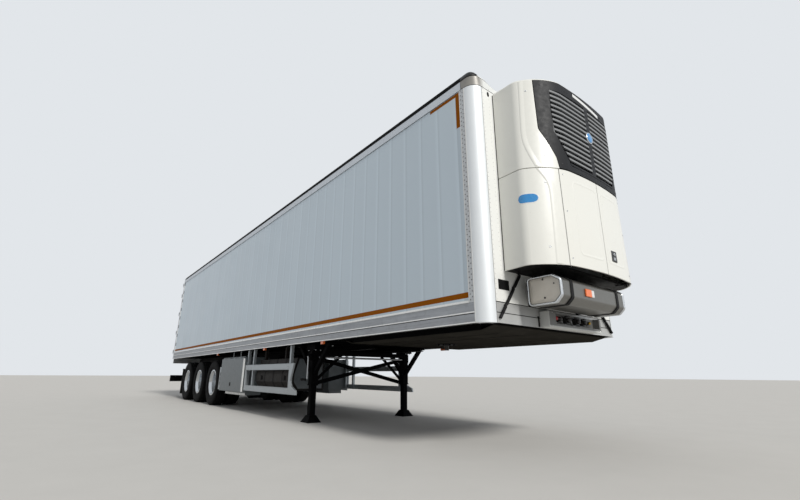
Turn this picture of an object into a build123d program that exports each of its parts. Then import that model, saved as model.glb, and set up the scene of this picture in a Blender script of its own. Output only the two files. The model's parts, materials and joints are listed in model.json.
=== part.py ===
from build123d import *
import math
import os

# Refrigerated box semi trailer, parked on its landing legs. Millimetres.
# +X runs forward, +Y to the trailer's left, +Z up. The origin is on the ground
# under the middle of the whole length. "Back" is a distance behind the outer
# face of the front wall, so most places along the trailer are given that way.

os.makedirs("parts", exist_ok=True)

# Whole body
BODY_LENGTH = 13750.0
BODY_WIDTH = 2550.0
BODY_HEIGHT = 4000.0
CORNER_RADIUS = 140.0
POST_FLANGE_BACK = 215.0
POST_FOOT_BACK = 153.0
CAP_RADIUS = 85.0
UNIT_REACH = 610.0
HINGE_REACH = 75.0
X_FRONT = (BODY_LENGTH + HINGE_REACH - UNIT_REACH) / 2
HALF_WIDTH = BODY_WIDTH / 2

# Walls, roof and floor
SIDE_WALL = 60.0
FRONT_WALL = 80.0
ROOF_THICK = 80.0
PANEL_INSET = 7.0
RAIL_BOTTOM = 1205.0
RAIL_TOP = 1407.0
RAIL_SHEET = 6.0
RAIL_FLANGE = PANEL_INSET + SIDE_WALL - 1
RAIL_SEAM = 1300.0
TOP_RAIL_BOTTOM = 3840.0
TOP_RAIL_TOP = 3950.0
FLOOR_BOTTOM = 1300.0
FLOOR_TOP = 1420.0
FLOOR_GROOVE_PITCH = 80.0
FLOOR_GROOVE_WIDTH = 40.0
FLOOR_GROOVE_DEPTH = 26.0
FIT = 0.3

# Rear frame and doors
REAR_POST_WIDTH = 110.0
REAR_FRAME_DEPTH = 130.0
REAR_HEADER = 150.0
LAMP_PANEL_AHEAD = 10.0
LAMP_PANEL_BOTTOM = 1060.0
DOOR_THICK = 85.0
DOOR_SEAL_GAP = 6.0
DOOR_BOTTOM = 1285.0
DOOR_TOP = 3925.0
DOOR_MIDDLE_GAP = 12.0
DOOR_BEVEL = 16.0
DOOR_EDGE_CLEAR = 22.0
HINGE_STAND = 62.0
HINGE_KNUCKLE_R = 13.0
HINGE_PIN_R = 8.0
HINGE_HEIGHTS = [1450.0, 2100.0, 2750.0, 3400.0, 3790.0]
HINGE_BLADE = 74.0
ROD_RADIUS = 11.0
ROD_STAND = 26.0

# Kingpin and coupler
KINGPIN_BACK = 1800.0
COUPLER_BOTTOM = 1150.0
COUPLER_LENGTH = 2750.0
COUPLER_HALF_WIDTH = 1090.0
COUPLER_PLATE = 10.0
COUPLER_FRONT = 80.0
COUPLER_NOSE = 160.0
COUPLER_RISE = 40.0
KINGPIN_NECK_R = 25.4
KINGPIN_COLLAR_R = 36.515
KINGPIN_FLANGE_R = 35.7
KINGPIN_COLLAR = 35.0
KINGPIN_NECK = 35.0
KINGPIN_FLANGE = 14.0

# Underframe
CROSS_BOTTOM = RAIL_BOTTOM + RAIL_SHEET
CROSS_PITCH = 490.0
CROSS_START = 3000.0
CROSS_FLANGE = 45.0
CROSS_WEB = 6.0
BEAM_Y = 490.0
BEAM_FLANGE = 120.0
BEAM_WEB = 10.0
BEAM_FLANGE_THICK = 14.0
BEAM_SHALLOW = 100.0
BEAM_DEEP = 380.0
BEAM_REAR_SHORT = 700.0
BEAM_TAPER_START = 6250.0
BEAM_TAPER_END = 7250.0

# Running gear
AXLE_BACKS = [8720.0, 10030.0, 11340.0]
TYRE_RADIUS = 525.0
TYRE_WIDTH = 276.0
DUAL_SPACING = 334.0
OUTER_TYRE_FACE = 1252.0
RIM_RADIUS = 286.0
RIM_LIP_RADIUS = 300.0
RIM_WIDTH = 232.0
HAND_HOLES = 10
AXLE_TUBE = 127.0

# Landing gear
LEG_BACK = 3930.0
LEG_Y = 966.0
LEG_OUTER = 122.0
LEG_INNER = 100.0
LEG_HOUSING_BOTTOM = 556.0
LEG_HOUSING_TOP = 1120.0
LEG_BEAM = 70.0
LEG_CROSS = 795.0
LEG_CROSS_RISE = 205.0
FOOT_HEIGHT = 105.0
FOOT_BASE_X = 250.0
FOOT_BASE_Y = 220.0

# Side boxes and guards
LOCKER_REAR = 7950.0
LOCKER_FRONT = 6430.0
LOCKER_BOTTOM = 385.0
LOCKER_TOP = 1070.0
LOCKER_DEPTH = 500.0
LOCKER_SHEET = 4.0
LOCKER_DOOR = 22.0
LOCKER_PIN_R = 4.0
LOCKER_KNUCKLE_R = 7.0
LOCKER_SLEEVE = 120.0
LOCKER_SLEEVES = 4
LOCKER_TRAY = 80.0
GUARD_FRONT = 3975.0
GUARD_REAR = 6400.0
GUARD_LOWER = 410.0
GUARD_UPPER = 802.0
GUARD_RAIL = 102.0
GUARD_THICK = 30.0
GUARD_INSET = 30.0
GUARD_WINDOW_FRONT = 4265.0
GUARD_WINDOW_REAR = 6330.0
SLOT_PLATE_REAR = 8140.0
PALLET_REAR = 6000.0
PALLET_FRONT = 4300.0
PALLET_BOTTOM = 470.0
PALLET_TOP = 1000.0
PALLET_OUTER = 1155.0
PALLET_INNER = 570.0
PALLET_CHAMFER = 80.0
PALLET_FOLD_LOW = 600.0
PALLET_FOLD_HIGH = 730.0
AIR_TANK_REAR = 7600.0
AIR_TANK_R = 123.0
MARKER_BACKS = [3140.0, 5420.0, 8450.0]

# Cooling unit
UNIT_MIDDLE = -50.0
UNIT_BOTTOM = 1725.0
UNIT_SEAM = 2740.0
UNIT_TOP = 3820.0
UNIT_SKIN = 14.0
UNIT_GAP = 8.0
UNIT_CAP = 20.0
UNIT_PIN_R = 5.0
UNIT_SEAL = 12.0
UNIT_FOLD_X = 285.0
UNIT_FOLD_RADIUS = 110.0
UNIT_BULGE = 54.0
UNIT_DOOR_Y = 630.0
UNIT_PIVOT_IN = 10.0
LOUVRE_ROWS = 15
LOUVRE_PROUD = 2.0
LOUVRE_BOTTOM = 2835.0
LOUVRE_TOP = 3660.0

# Fuel tank for the cooling unit
TANK_BACK_X = 120.0
TANK_FRONT_X = 470.0
TANK_BOTTOM = 1380.0
TANK_TOP = 1650.0
TANK_NEAR = -780.0
TANK_FAR = 500.0
TANK_STRAPS = [-590.0, 330.0]
TANK_LOW_CUT = 62.0
TANK_HIGH_CUT = 50.0
TANK_HIGH_RUN = 78.0
TANK_ROUND = 40.0


def block(x0, x1, y0, y1, z0, z1):
    """Box between two corners."""
    centre = ((x0 + x1) / 2, (y0 + y1) / 2, (z0 + z1) / 2)
    return Pos(*centre) * Box(abs(x1 - x0), abs(y1 - y0), abs(z1 - z0))


def at(back):
    """X of a place given by its distance behind the front wall."""
    return X_FRONT - back


def prism_x(points, x0, x1):
    """Solid whose outline is given as (y, z) points, from x0 to x1."""
    face = Face(Wire.make_polygon([Vector(x0, y, z) for y, z in points], close=True))
    return extrude(face, amount=x1 - x0, dir=(1, 0, 0))


def prism_y(points, y0, y1):
    """Solid whose outline is given as (x, z) points, from y0 to y1."""
    face = Face(Wire.make_polygon([Vector(x, y0, z) for x, z in points], close=True))
    return extrude(face, amount=y1 - y0, dir=(0, 1, 0))


def prism_z(points, z0, z1):
    """Solid whose outline is given as (x, y) points, from z0 to z1."""
    face = Face(Wire.make_polygon([Vector(x, y, z0) for x, y in points], close=True))
    return extrude(face, amount=z1 - z0, dir=(0, 0, 1))


def rod(start, end, radius):
    """Round bar between two points."""
    a, b = Vector(*start), Vector(*end)
    plane = Plane(origin=a, z_dir=(b - a))
    return extrude(plane * Circle(radius), amount=(b - a).length)


def bar(start, end, width, thick, up=(0, 0, 1)):
    """Flat bar between two points; its width lies along up as nearly as it can."""
    a, b = Vector(*start), Vector(*end)
    along = (b - a).normalized()
    side = along.cross(Vector(*up)).normalized()
    plane = Plane(origin=a, x_dir=side, z_dir=along)
    return extrude(plane * Rectangle(thick, width), amount=(b - a).length)


def mirrored(shape):
    """The same piece on the other side of the trailer."""
    return mirror(shape, about=Plane.XZ)


def save(name, *shapes):
    """Write one node made of one or more solids."""
    solids = []
    for shape in shapes:
        solids += shape.solids()
    node = solids[0] if len(solids) == 1 else Compound(children=solids)
    export_step(node, f"parts/{name}.step")


# Body shell


def body_outline(inset, rear_back, z0, z1, radius):
    """Plan of the box body with round front corners, as a solid."""
    front = X_FRONT - inset
    rear = at(rear_back)
    half = HALF_WIDTH - inset
    plan = Pos((front + rear) / 2, 0, z0) * Rectangle(front - rear, 2 * half)
    plan = fillet(plan.vertices().sort_by(Axis.X)[-2:], max(radius - inset, 1))
    return extrude(plan, amount=z1 - z0)


FRAME_BACK = BODY_LENGTH - DOOR_THICK - DOOR_SEAL_GAP
FRAME_FRONT_BACK = FRAME_BACK - REAR_FRAME_DEPTH


def ring(outer_inset, inner_inset, z0, z1, radius):
    """Band round the front and sides, open at the back."""
    outer = body_outline(outer_inset, FRAME_FRONT_BACK - FIT, z0, z1, radius)
    inner = body_outline(inner_inset, FRAME_FRONT_BACK + 50, z0 - 1, z1 + 1, radius)
    return outer - inner


def make_walls():
    side = block(
        at(FRAME_FRONT_BACK), at(POST_FLANGE_BACK),
        -HALF_WIDTH + PANEL_INSET, -HALF_WIDTH + PANEL_INSET + SIDE_WALL,
        RAIL_TOP, TOP_RAIL_BOTTOM,
    )
    save("side_walls", side, mirrored(side))
    front_half = HALF_WIDTH - CORNER_RADIUS
    save("front_wall", block(
        at(FRONT_WALL), at(0), -front_half, front_half, RAIL_TOP, TOP_RAIL_BOTTOM,
    ))
    outer = -HALF_WIDTH - 1
    head = ring(0, SIDE_WALL, RAIL_TOP, TOP_RAIL_BOTTOM, CORNER_RADIUS)
    head &= block(at(POST_FLANGE_BACK), at(-1), outer, -front_half, RAIL_TOP, TOP_RAIL_BOTTOM)
    foot = ring(0, RAIL_SHEET + 4, RAIL_BOTTOM, RAIL_TOP, CORNER_RADIUS)
    foot += ring(0, RAIL_FLANGE, RAIL_BOTTOM, RAIL_BOTTOM + RAIL_SHEET, CORNER_RADIUS)
    foot &= block(at(POST_FOOT_BACK), at(-1), outer, -front_half, RAIL_BOTTOM, RAIL_TOP)
    right = head + foot
    save("corner_posts", right, mirrored(right))


def make_top():
    top_rail = ring(0, SIDE_WALL, TOP_RAIL_BOTTOM, TOP_RAIL_TOP, CAP_RADIUS)
    save("top_rail", top_rail)
    cap = ring(0, SIDE_WALL + 30, TOP_RAIL_TOP, BODY_HEIGHT, CAP_RADIUS)
    save("roof_edging", cap)
    roof = body_outline(SIDE_WALL, FRAME_FRONT_BACK, BODY_HEIGHT - 10 - ROOF_THICK,
                        TOP_RAIL_TOP, CAP_RADIUS)
    skin = body_outline(SIDE_WALL + 30, FRAME_FRONT_BACK, TOP_RAIL_TOP,
                        BODY_HEIGHT - 10, CAP_RADIUS)
    save("roof", roof + skin)


def rail_profile():
    """Bottom rail section as (y, z) points on the right side, an open channel."""
    out = -HALF_WIDTH
    web = out + RAIL_SHEET
    lip = 4.0
    return [
        (out, RAIL_BOTTOM), (out + RAIL_FLANGE, RAIL_BOTTOM),
        (out + RAIL_FLANGE, RAIL_BOTTOM + RAIL_SHEET), (web + lip, RAIL_BOTTOM + RAIL_SHEET),
        (web + lip, RAIL_TOP - RAIL_SHEET), (out + RAIL_FLANGE, RAIL_TOP - RAIL_SHEET),
        (out + RAIL_FLANGE, RAIL_TOP), (out + lip, RAIL_TOP),
        (out + lip, RAIL_SEAM + 4), (out + lip + 2, RAIL_SEAM + 4),
        (out + lip + 2, RAIL_SEAM), (out, RAIL_SEAM),
    ]


def make_rails():
    rail = prism_x(rail_profile(), at(FRAME_FRONT_BACK), at(POST_FOOT_BACK))
    save("bottom_rails", rail, mirrored(rail))
    half = HALF_WIDTH - CORNER_RADIUS - FIT
    front = block(at(RAIL_SHEET + 4), at(0), -half, half, RAIL_BOTTOM, RAIL_SEAM)
    front += block(at(RAIL_FLANGE), at(0), -half, half, RAIL_BOTTOM, RAIL_BOTTOM + RAIL_SHEET)
    front += block(at(RAIL_SHEET + 4), at(4), -half, half, RAIL_SEAM, RAIL_TOP)
    save("front_rail", front)


def make_floor():
    """Floor panel with the lengthwise air grooves of a refrigerated body."""
    half = HALF_WIDTH - PANEL_INSET - SIDE_WALL - FIT
    points = [(-half, FLOOR_BOTTOM), (half, FLOOR_BOTTOM), (half, FLOOR_TOP)]
    count = int((2 * half - 120) / FLOOR_GROOVE_PITCH)
    first = (count - 1) * FLOOR_GROOVE_PITCH / 2
    for index in range(count):
        middle = first - index * FLOOR_GROOVE_PITCH
        edge = FLOOR_GROOVE_WIDTH / 2
        points += [
            (middle + edge, FLOOR_TOP), (middle + edge, FLOOR_TOP - FLOOR_GROOVE_DEPTH),
            (middle - edge, FLOOR_TOP - FLOOR_GROOVE_DEPTH), (middle - edge, FLOOR_TOP),
        ]
    points.append((-half, FLOOR_TOP))
    panel = prism_x(points, at(FRAME_FRONT_BACK - FIT), at(FRONT_WALL + FIT))
    room = body_outline(SIDE_WALL + PANEL_INSET + FIT, BODY_LENGTH, FLOOR_BOTTOM - 1,
                        FLOOR_TOP + 1, CORNER_RADIUS)
    save("floor", panel & room)


# Rear frame and doors


def make_rear_frame():
    x0, x1 = at(FRAME_BACK), at(FRAME_FRONT_BACK)
    outer = block(x0, x1, -HALF_WIDTH, HALF_WIDTH, RAIL_BOTTOM, BODY_HEIGHT)
    opening_half = HALF_WIDTH - REAR_POST_WIDTH
    hole = block(x0 - 1, x1 + 1, -opening_half, opening_half,
                 FLOOR_TOP, BODY_HEIGHT - REAR_HEADER)
    panel_x = at(FRAME_BACK - LAMP_PANEL_AHEAD)
    lamp_panel = block(panel_x, panel_x + 30, -HALF_WIDTH + 35, HALF_WIDTH - 35,
                       LAMP_PANEL_BOTTOM, RAIL_BOTTOM)
    save("rear_frame", outer - hole + lamp_panel)


DOOR_REAR_X = at(BODY_LENGTH)
HINGE_X = DOOR_REAR_X - HINGE_STAND
HINGE_Y = HALF_WIDTH - HINGE_KNUCKLE_R
DOOR_FRONT_X = DOOR_REAR_X + DOOR_THICK


def rear_door(side):
    """Door slab; its free edge is bevelled so that it swings past its twin."""
    edge = HINGE_Y - DOOR_EDGE_CLEAR
    free = DOOR_MIDDLE_GAP / 2
    plan = [
        (DOOR_REAR_X, side * edge), (DOOR_FRONT_X, side * edge),
        (DOOR_FRONT_X, side * (free + DOOR_BEVEL)), (DOOR_REAR_X, side * free),
    ]
    return prism_z(plan, DOOR_BOTTOM, DOOR_TOP)


def hinge_blade(side, height):
    """Cranked blade from the knuckle on to the door's outer face."""
    z0, z1 = height - HINGE_BLADE / 2, height + HINGE_BLADE / 2
    knuckle = Pos(HINGE_X, side * HINGE_Y, z0) * extrude(
        Circle(HINGE_KNUCKLE_R), amount=HINGE_BLADE)
    step = HINGE_Y - DOOR_EDGE_CLEAR
    leaf = block(HINGE_X - 5, HINGE_X + 5, side * HINGE_Y, side * (step - 8), z0, z1)
    web = block(HINGE_X - 5, DOOR_REAR_X, side * step, side * (step - 8), z0, z1)
    arm = block(DOOR_REAR_X - 8, DOOR_REAR_X, side * step, side * (step - 230), z0 + 8, z1 - 8)
    bore = Pos(HINGE_X, side * HINGE_Y, z0 - 1) * extrude(
        Circle(HINGE_PIN_R + 0.4), amount=HINGE_BLADE + 2)
    return knuckle + leaf + web + arm - bore


def hinge_lug(side, height):
    """Two ears on the frame joined by the hinge pin."""
    gap = HINGE_BLADE / 2 + 1
    ear = 26.0
    parts = Pos(HINGE_X, side * HINGE_Y, height - gap - ear) * extrude(
        Circle(HINGE_PIN_R), amount=2 * (gap + ear))
    for z0 in (height - gap - ear, height + gap):
        ring_part = Pos(HINGE_X, side * HINGE_Y, z0) * extrude(
            Circle(HINGE_KNUCKLE_R), amount=ear)
        arm = block(HINGE_X, at(FRAME_BACK), side * HALF_WIDTH,
                    side * (HALF_WIDTH - 10), z0, z0 + ear)
        parts = parts + ring_part + arm
    return parts


def lock_rod(side, offset):
    """Lock rod with its guides, cams and handle, offset from the middle line."""
    y = side * offset
    x = DOOR_REAR_X - ROD_STAND
    shaft = Pos(x, y, DOOR_BOTTOM - 32) * extrude(
        Circle(ROD_RADIUS), amount=DOOR_TOP - DOOR_BOTTOM + 44)
    result = shaft
    for height in (DOOR_BOTTOM + 60, 1800.0, 2300.0, 3000.0, DOOR_TOP - 70):
        result += block(x - 14, DOOR_REAR_X, y - 32, y + 32, height - 18, height + 18)
    handle_z = 1620.0 if offset < 500 else 1560.0
    reach = side * 330
    result += block(x - 8, x + 6, y, y + reach, handle_z - 16, handle_z + 16)
    result += block(x, DOOR_REAR_X, y + reach * 0.82, y + reach * 0.95,
                    handle_z - 30, handle_z + 30)
    return result


ROD_OFFSETS = [210.0, 760.0]


def keepers():
    """Cam keepers on the sill and the header behind each lock rod's ends."""
    result = []
    x_face = at(FRAME_BACK)
    for side in (-1, 1):
        for offset in ROD_OFFSETS:
            y = side * offset
            for z0, z1 in ((DOOR_BOTTOM - 58, DOOR_BOTTOM - 8),
                           (DOOR_TOP + 8, DOOR_TOP + 50)):
                plate = block(DOOR_REAR_X + 4, x_face, y - 34, y + 34, z0, z1)
                cheeks = block(DOOR_REAR_X - ROD_STAND - 14, x_face, y - 34, y - 22, z0, z1)
                cheeks += block(DOOR_REAR_X - ROD_STAND - 14, x_face, y + 22, y + 34, z0, z1)
                result.append(plate + cheeks)
    return result


def make_rear():
    make_rear_frame()
    for side, name in ((-1, "right"), (1, "left")):
        save(f"rear_door_{name}", rear_door(side))
        blades = [hinge_blade(side, height) for height in HINGE_HEIGHTS]
        rods = [lock_rod(side, offset) for offset in ROD_OFFSETS]
        save(f"door_gear_{name}", *blades, *rods)
    lugs = [hinge_lug(side, height) for side in (-1, 1) for height in HINGE_HEIGHTS]
    save("rear_frame_fittings", *lugs, *keepers())


# Underframe


def main_beam(y):
    """Beam with a shallow front part, a tapered step and a deep rear part."""
    top = CROSS_BOTTOM
    shallow = top - BEAM_SHALLOW
    deep = top - BEAM_DEEP
    front = COUPLER_LENGTH + 150
    rear = BODY_LENGTH - BEAM_REAR_SHORT
    flange = BEAM_FLANGE_THICK
    side = [
        (at(front), top), (at(rear), top), (at(rear), deep), (at(BEAM_TAPER_END), deep),
        (at(BEAM_TAPER_START), shallow), (at(front), shallow),
    ]
    inner = [
        (at(front) + 1, top - flange), (at(rear) - 1, top - flange),
        (at(rear) - 1, deep + flange), (at(BEAM_TAPER_END) + 4, deep + flange),
        (at(BEAM_TAPER_START) + 4, shallow + flange), (at(front) + 1, shallow + flange),
    ]
    half, web = BEAM_FLANGE / 2, BEAM_WEB / 2
    body = prism_y(side, y - half, y + half)
    body -= prism_y(inner, y + web, y + half + 1)
    body -= prism_y(inner, y - half - 1, y - web)
    return body


def nearest_member(back):
    """Place of the cross member nearest to a given distance back."""
    return CROSS_START + round((back - CROSS_START) / CROSS_PITCH) * CROSS_PITCH


def cross_member(back):
    """Channel across the body, open to the rear."""
    half = HALF_WIDTH - RAIL_SHEET - 6
    x = at(back)
    low, high, web = CROSS_BOTTOM, FLOOR_BOTTOM, CROSS_WEB
    section = [
        (x, low), (x - CROSS_FLANGE, low), (x - CROSS_FLANGE, low + web), (x - web, low + web),
        (x - web, high - web), (x - CROSS_FLANGE, high - web), (x - CROSS_FLANGE, high), (x, high),
    ]
    return prism_y(section, -half, half)


def make_underframe():
    beams = []
    for side in (-1, 1):
        beam = main_beam(side * BEAM_Y)
        for back in AXLE_BACKS:
            beam += axle_hanger(at(back), side * BEAM_Y)
        beams.append(beam)
    save("main_beams", *beams)
    count = int((FRAME_FRONT_BACK - CROSS_START + 50) / CROSS_PITCH)
    members = [cross_member(CROSS_START + index * CROSS_PITCH) for index in range(count)]
    save("cross_members", *members, *coupler_ribs())
    make_coupler()


def make_coupler():
    """Coupler: skid plate with a turned-up nose, side channels and ribs over it."""
    front, rear, nose = COUPLER_FRONT, COUPLER_LENGTH, COUPLER_NOSE
    z = COUPLER_BOTTOM
    section = [
        (at(front), z + COUPLER_RISE), (at(front + nose), z), (at(rear - nose), z),
        (at(rear), z + COUPLER_RISE), (at(rear), z + COUPLER_RISE + COUPLER_PLATE),
        (at(rear - nose), z + COUPLER_PLATE), (at(front + nose), z + COUPLER_PLATE),
        (at(front), z + COUPLER_RISE + COUPLER_PLATE),
    ]
    plate = prism_y(section, -COUPLER_HALF_WIDTH, COUPLER_HALF_WIDTH)
    pin_x = at(KINGPIN_BACK)
    plate -= Pos(pin_x, 0, z - 1) * extrude(Circle(110), amount=COUPLER_PLATE + 2)
    save("coupler_plate", plate)
    seat = Pos(pin_x, 0, z) * extrude(Circle(109.7), amount=COUPLER_PLATE)
    seat += Pos(pin_x, 0, z + COUPLER_PLATE) * extrude(Circle(150), amount=12)
    pin = Pos(pin_x, 0, z - KINGPIN_COLLAR) * extrude(
        Circle(KINGPIN_COLLAR_R), amount=KINGPIN_COLLAR)
    neck_z = z - KINGPIN_COLLAR - KINGPIN_NECK
    pin += Pos(pin_x, 0, neck_z) * extrude(Circle(KINGPIN_NECK_R), amount=KINGPIN_NECK)
    pin += Pos(pin_x, 0, neck_z - KINGPIN_FLANGE) * extrude(
        Circle(KINGPIN_FLANGE_R), amount=KINGPIN_FLANGE)
    save("kingpin", seat + pin)


def coupler_ribs():
    """Side channels and cross ribs between the skid plate and the floor."""
    ribs = []
    inner_z = COUPLER_BOTTOM + COUPLER_PLATE
    front, rear = COUPLER_FRONT + COUPLER_NOSE + 5, COUPLER_LENGTH - COUPLER_NOSE - 5
    for side in (-1, 1):
        y0, y1 = sorted((side * (COUPLER_HALF_WIDTH - 10), side * (COUPLER_HALF_WIDTH - 80)))
        ribs.append(block(at(rear), at(front), y0, y1, inner_z, FLOOR_BOTTOM))
    for back in (260.0, 700.0, 1150.0, 1560.0, 2050.0, 2500.0):
        half = COUPLER_HALF_WIDTH - 80
        ribs.append(block(at(back + 60), at(back), -half, half, inner_z, FLOOR_BOTTOM))
    frame = ribs[0]
    for rib in ribs[1:]:
        frame = frame + rib
    pocket = Pos(at(KINGPIN_BACK), 0, inner_z) * extrude(Circle(160), amount=14)
    return [frame - pocket]


# Running gear


def wheel_centres(side):
    """Middle planes of the outer and the inner tyre on one side."""
    outer = OUTER_TYRE_FACE - TYRE_WIDTH / 2
    return side * outer, side * (outer - DUAL_SPACING)


def revolved(points, x):
    """Ring from an (y, radius) outline turned about the axle line."""
    face = Face(Wire.make_polygon([Vector(0, y, r) for y, r in points], close=True))
    return Pos(x, 0, TYRE_RADIUS) * revolve(face, axis=Axis.Y)


def tyre(x, y):
    """Tyre as a ring with sloped shoulders and bulged side walls."""
    half = TYRE_WIDTH / 2
    bead = RIM_WIDTH / 2 - 30
    flank = [
        (bead, RIM_RADIUS + FIT), (half - 12, 330), (half, 392), (half, 436), (half - 12, 500),
        (half - 36, TYRE_RADIUS),
    ]
    section = flank + [(-offset, radius) for offset, radius in reversed(flank)]
    return revolved([(y + offset, radius) for offset, radius in section], x)


def wheel_set(x, side):
    """Two disc wheels back to back on their hub, with the brake drum."""
    outer, inner = (abs(y) for y in wheel_centres(side))
    half = RIM_WIDTH / 2
    mount = (outer + inner) / 2
    disc = 22.0

    def s(points):
        return [(side * y, r) for y, r in points]

    rim_outer = [
        (outer + half, RIM_LIP_RADIUS), (outer + half, RIM_RADIUS - 10),
        (outer + half - 60, RIM_RADIUS - 40), (outer - 40, RIM_RADIUS - 52),
        (mount + 60, 236), (mount + disc, 196), (mount + disc, 90), (mount, 90), (mount, 215),
        (mount + 40, 258), (outer - half, RIM_RADIUS - 6), (outer - half, RIM_LIP_RADIUS),
        (outer - half + 14, RIM_LIP_RADIUS), (outer - half + 14, RIM_RADIUS),
        (outer + half - 14, RIM_RADIUS), (outer + half - 14, RIM_LIP_RADIUS),
    ]
    rim_inner = [(2 * mount - y, r) for y, r in rim_outer]
    hub = [
        (mount + disc + 14, 140), (mount + disc + 14, 92), (mount + 120, 86),
        (mount + 140, 70), (mount + 140, 0), (mount - 330, 0), (mount - 330, 90),
        (mount - 260, 90), (mount - 260, 210), (mount - 60, 210), (mount - 40, 140),
    ]
    result = revolved(s(rim_outer), x) + revolved(s(rim_inner), x) + revolved(s(hub), x)
    holes = []
    for index in range(HAND_HOLES):
        angle = 2 * math.pi * index / HAND_HOLES
        hole_x = x + 226 * math.cos(angle)
        hole_z = TYRE_RADIUS + 226 * math.sin(angle)
        plane = Plane(origin=(hole_x, side * (mount - 75), hole_z), z_dir=(0, side, 0))
        holes.append(extrude(plane * Circle(27), amount=150))
    return result - holes


def make_running_gear():
    axles = []
    for number, back in enumerate(AXLE_BACKS, start=1):
        x = at(back)
        for side, name in ((-1, "right"), (1, "left")):
            outer, inner = wheel_centres(side)
            save(f"tyres_{number}_{name}", tyre(x, outer), tyre(x, inner))
            save(f"wheels_{number}_{name}", wheel_set(x, side))
        axles.append(axle(x))
    save("axles", *axles)
    make_suspension()


def hub_inner_face():
    outer, inner = (abs(y) for y in wheel_centres(1))
    return (outer + inner) / 2 - 330


def axle(x):
    """Round axle tube with its brake spiders and chambers' brackets."""
    reach = hub_inner_face() - FIT
    plane = Plane(origin=(x, -reach, TYRE_RADIUS), z_dir=(0, 1, 0))
    tube = extrude(plane * Circle(AXLE_TUBE / 2), amount=2 * reach)
    return tube


PIVOT_AHEAD = 480.0
PIVOT_HEIGHT = 620.0
SEAT_HEIGHT = 560.0
SPRING_BEHIND = 370.0


def axle_hanger(x, y):
    """Two plates under the beam with the arm's pivot pin between them."""
    beam_bottom = CROSS_BOTTOM - BEAM_DEEP
    pivot_x, pivot_z = x + PIVOT_AHEAD, PIVOT_HEIGHT
    plate = [
        (pivot_x - 110, beam_bottom), (pivot_x + 110, beam_bottom),
        (pivot_x + 45, pivot_z - 45), (pivot_x - 45, pivot_z - 45),
    ]
    hanger = rod((pivot_x, y - 60, pivot_z), (pivot_x, y + 60, pivot_z), 20)
    for y0 in (y - 52, y + 40):
        hanger += prism_y(plate, y0, y0 + 12)
    return hanger


def trailing_arm(x, y):
    """Forged arm from the pivot over the axle to the air spring's seat."""
    pivot_x, pivot_z = x + PIVOT_AHEAD, PIVOT_HEIGHT
    axle_top = TYRE_RADIUS + AXLE_TUBE / 2
    seat = SEAT_HEIGHT
    arm = [
        (pivot_x + 42, pivot_z - 30), (pivot_x + 42, pivot_z + 36), (x + 110, axle_top + 60),
        (x - 110, axle_top + 50), (x - SPRING_BEHIND + 108, seat), (x - SPRING_BEHIND - 110, seat),
        (x - SPRING_BEHIND - 110, seat - 30), (x - 190, seat - 30), (x - 110, axle_top),
        (x + 110, axle_top), (x + 250, seat + 20),
    ]
    solid = prism_y(arm, y - 38, y + 38)
    solid -= rod((pivot_x, y - 70, pivot_z), (pivot_x, y + 70, pivot_z), 20 + FIT)
    saddle = block(x - 90, x + 90, y - 38, y + 38, TYRE_RADIUS - 95, axle_top + 2)
    saddle -= rod((x, y - 50, TYRE_RADIUS), (x, y + 50, TYRE_RADIUS), AXLE_TUBE / 2 + FIT)
    return solid + saddle


def air_spring(x, y):
    """Rolling bellows on its piston between the arm's seat and the beam."""
    beam_bottom = CROSS_BOTTOM - BEAM_DEEP
    spring_x, low = x - SPRING_BEHIND, SEAT_HEIGHT + FIT
    piston = Pos(spring_x, y, low) * extrude(Circle(95), amount=50)
    bellows = Pos(spring_x, y, low + 50) * extrude(Circle(135), amount=beam_bottom - low - 50 - FIT)
    return piston + chamfer(bellows.edges().filter_by(GeomType.CIRCLE), 32)


def make_suspension():
    arms, springs = [], []
    for back in AXLE_BACKS:
        for side in (-1, 1):
            arms.append(trailing_arm(at(back), side * BEAM_Y))
            springs.append(air_spring(at(back), side * BEAM_Y))
    save("trailing_arms", *arms)
    save("air_springs", *springs)


# Landing gear


def leg_parts(side):
    x, y = at(LEG_BACK), side * LEG_Y
    half = LEG_OUTER / 2
    wall = 8.0
    housing = block(x - half, x + half, y - half, y + half, LEG_HOUSING_BOTTOM, LEG_HOUSING_TOP)
    housing = fillet(housing.edges().filter_by(Axis.Z), 14)
    hollow = LEG_INNER / 2 + FIT
    housing -= block(x - hollow, x + hollow, y - hollow, y + hollow,
                     LEG_HOUSING_BOTTOM - 1, LEG_HOUSING_TOP - wall)
    inner_half = LEG_INNER / 2
    inner = block(x - inner_half, x + inner_half, y - inner_half, y + inner_half,
                  FOOT_HEIGHT, LEG_HOUSING_BOTTOM + 260)
    inner = chamfer(inner.edges().filter_by(Axis.Z), 8)
    foot = loft([
        Pos(x, y, 12) * Rectangle(FOOT_BASE_X, FOOT_BASE_Y),
        Pos(x, y, FOOT_HEIGHT) * Rectangle(LEG_INNER + 30, LEG_INNER + 20),
    ])
    foot += Pos(x, y, 6) * Box(FOOT_BASE_X + 10, FOOT_BASE_Y + 10, 12)
    return housing, inner + foot


def leg_block(side, grow):
    """Outer size of a leg's housing, for cutting the braces to it."""
    x, y, half = at(LEG_BACK), side * LEG_Y, LEG_OUTER / 2 - grow
    return block(x - half, x + half, y - half, y + half, LEG_HOUSING_BOTTOM - 60, LEG_HOUSING_TOP)


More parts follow.
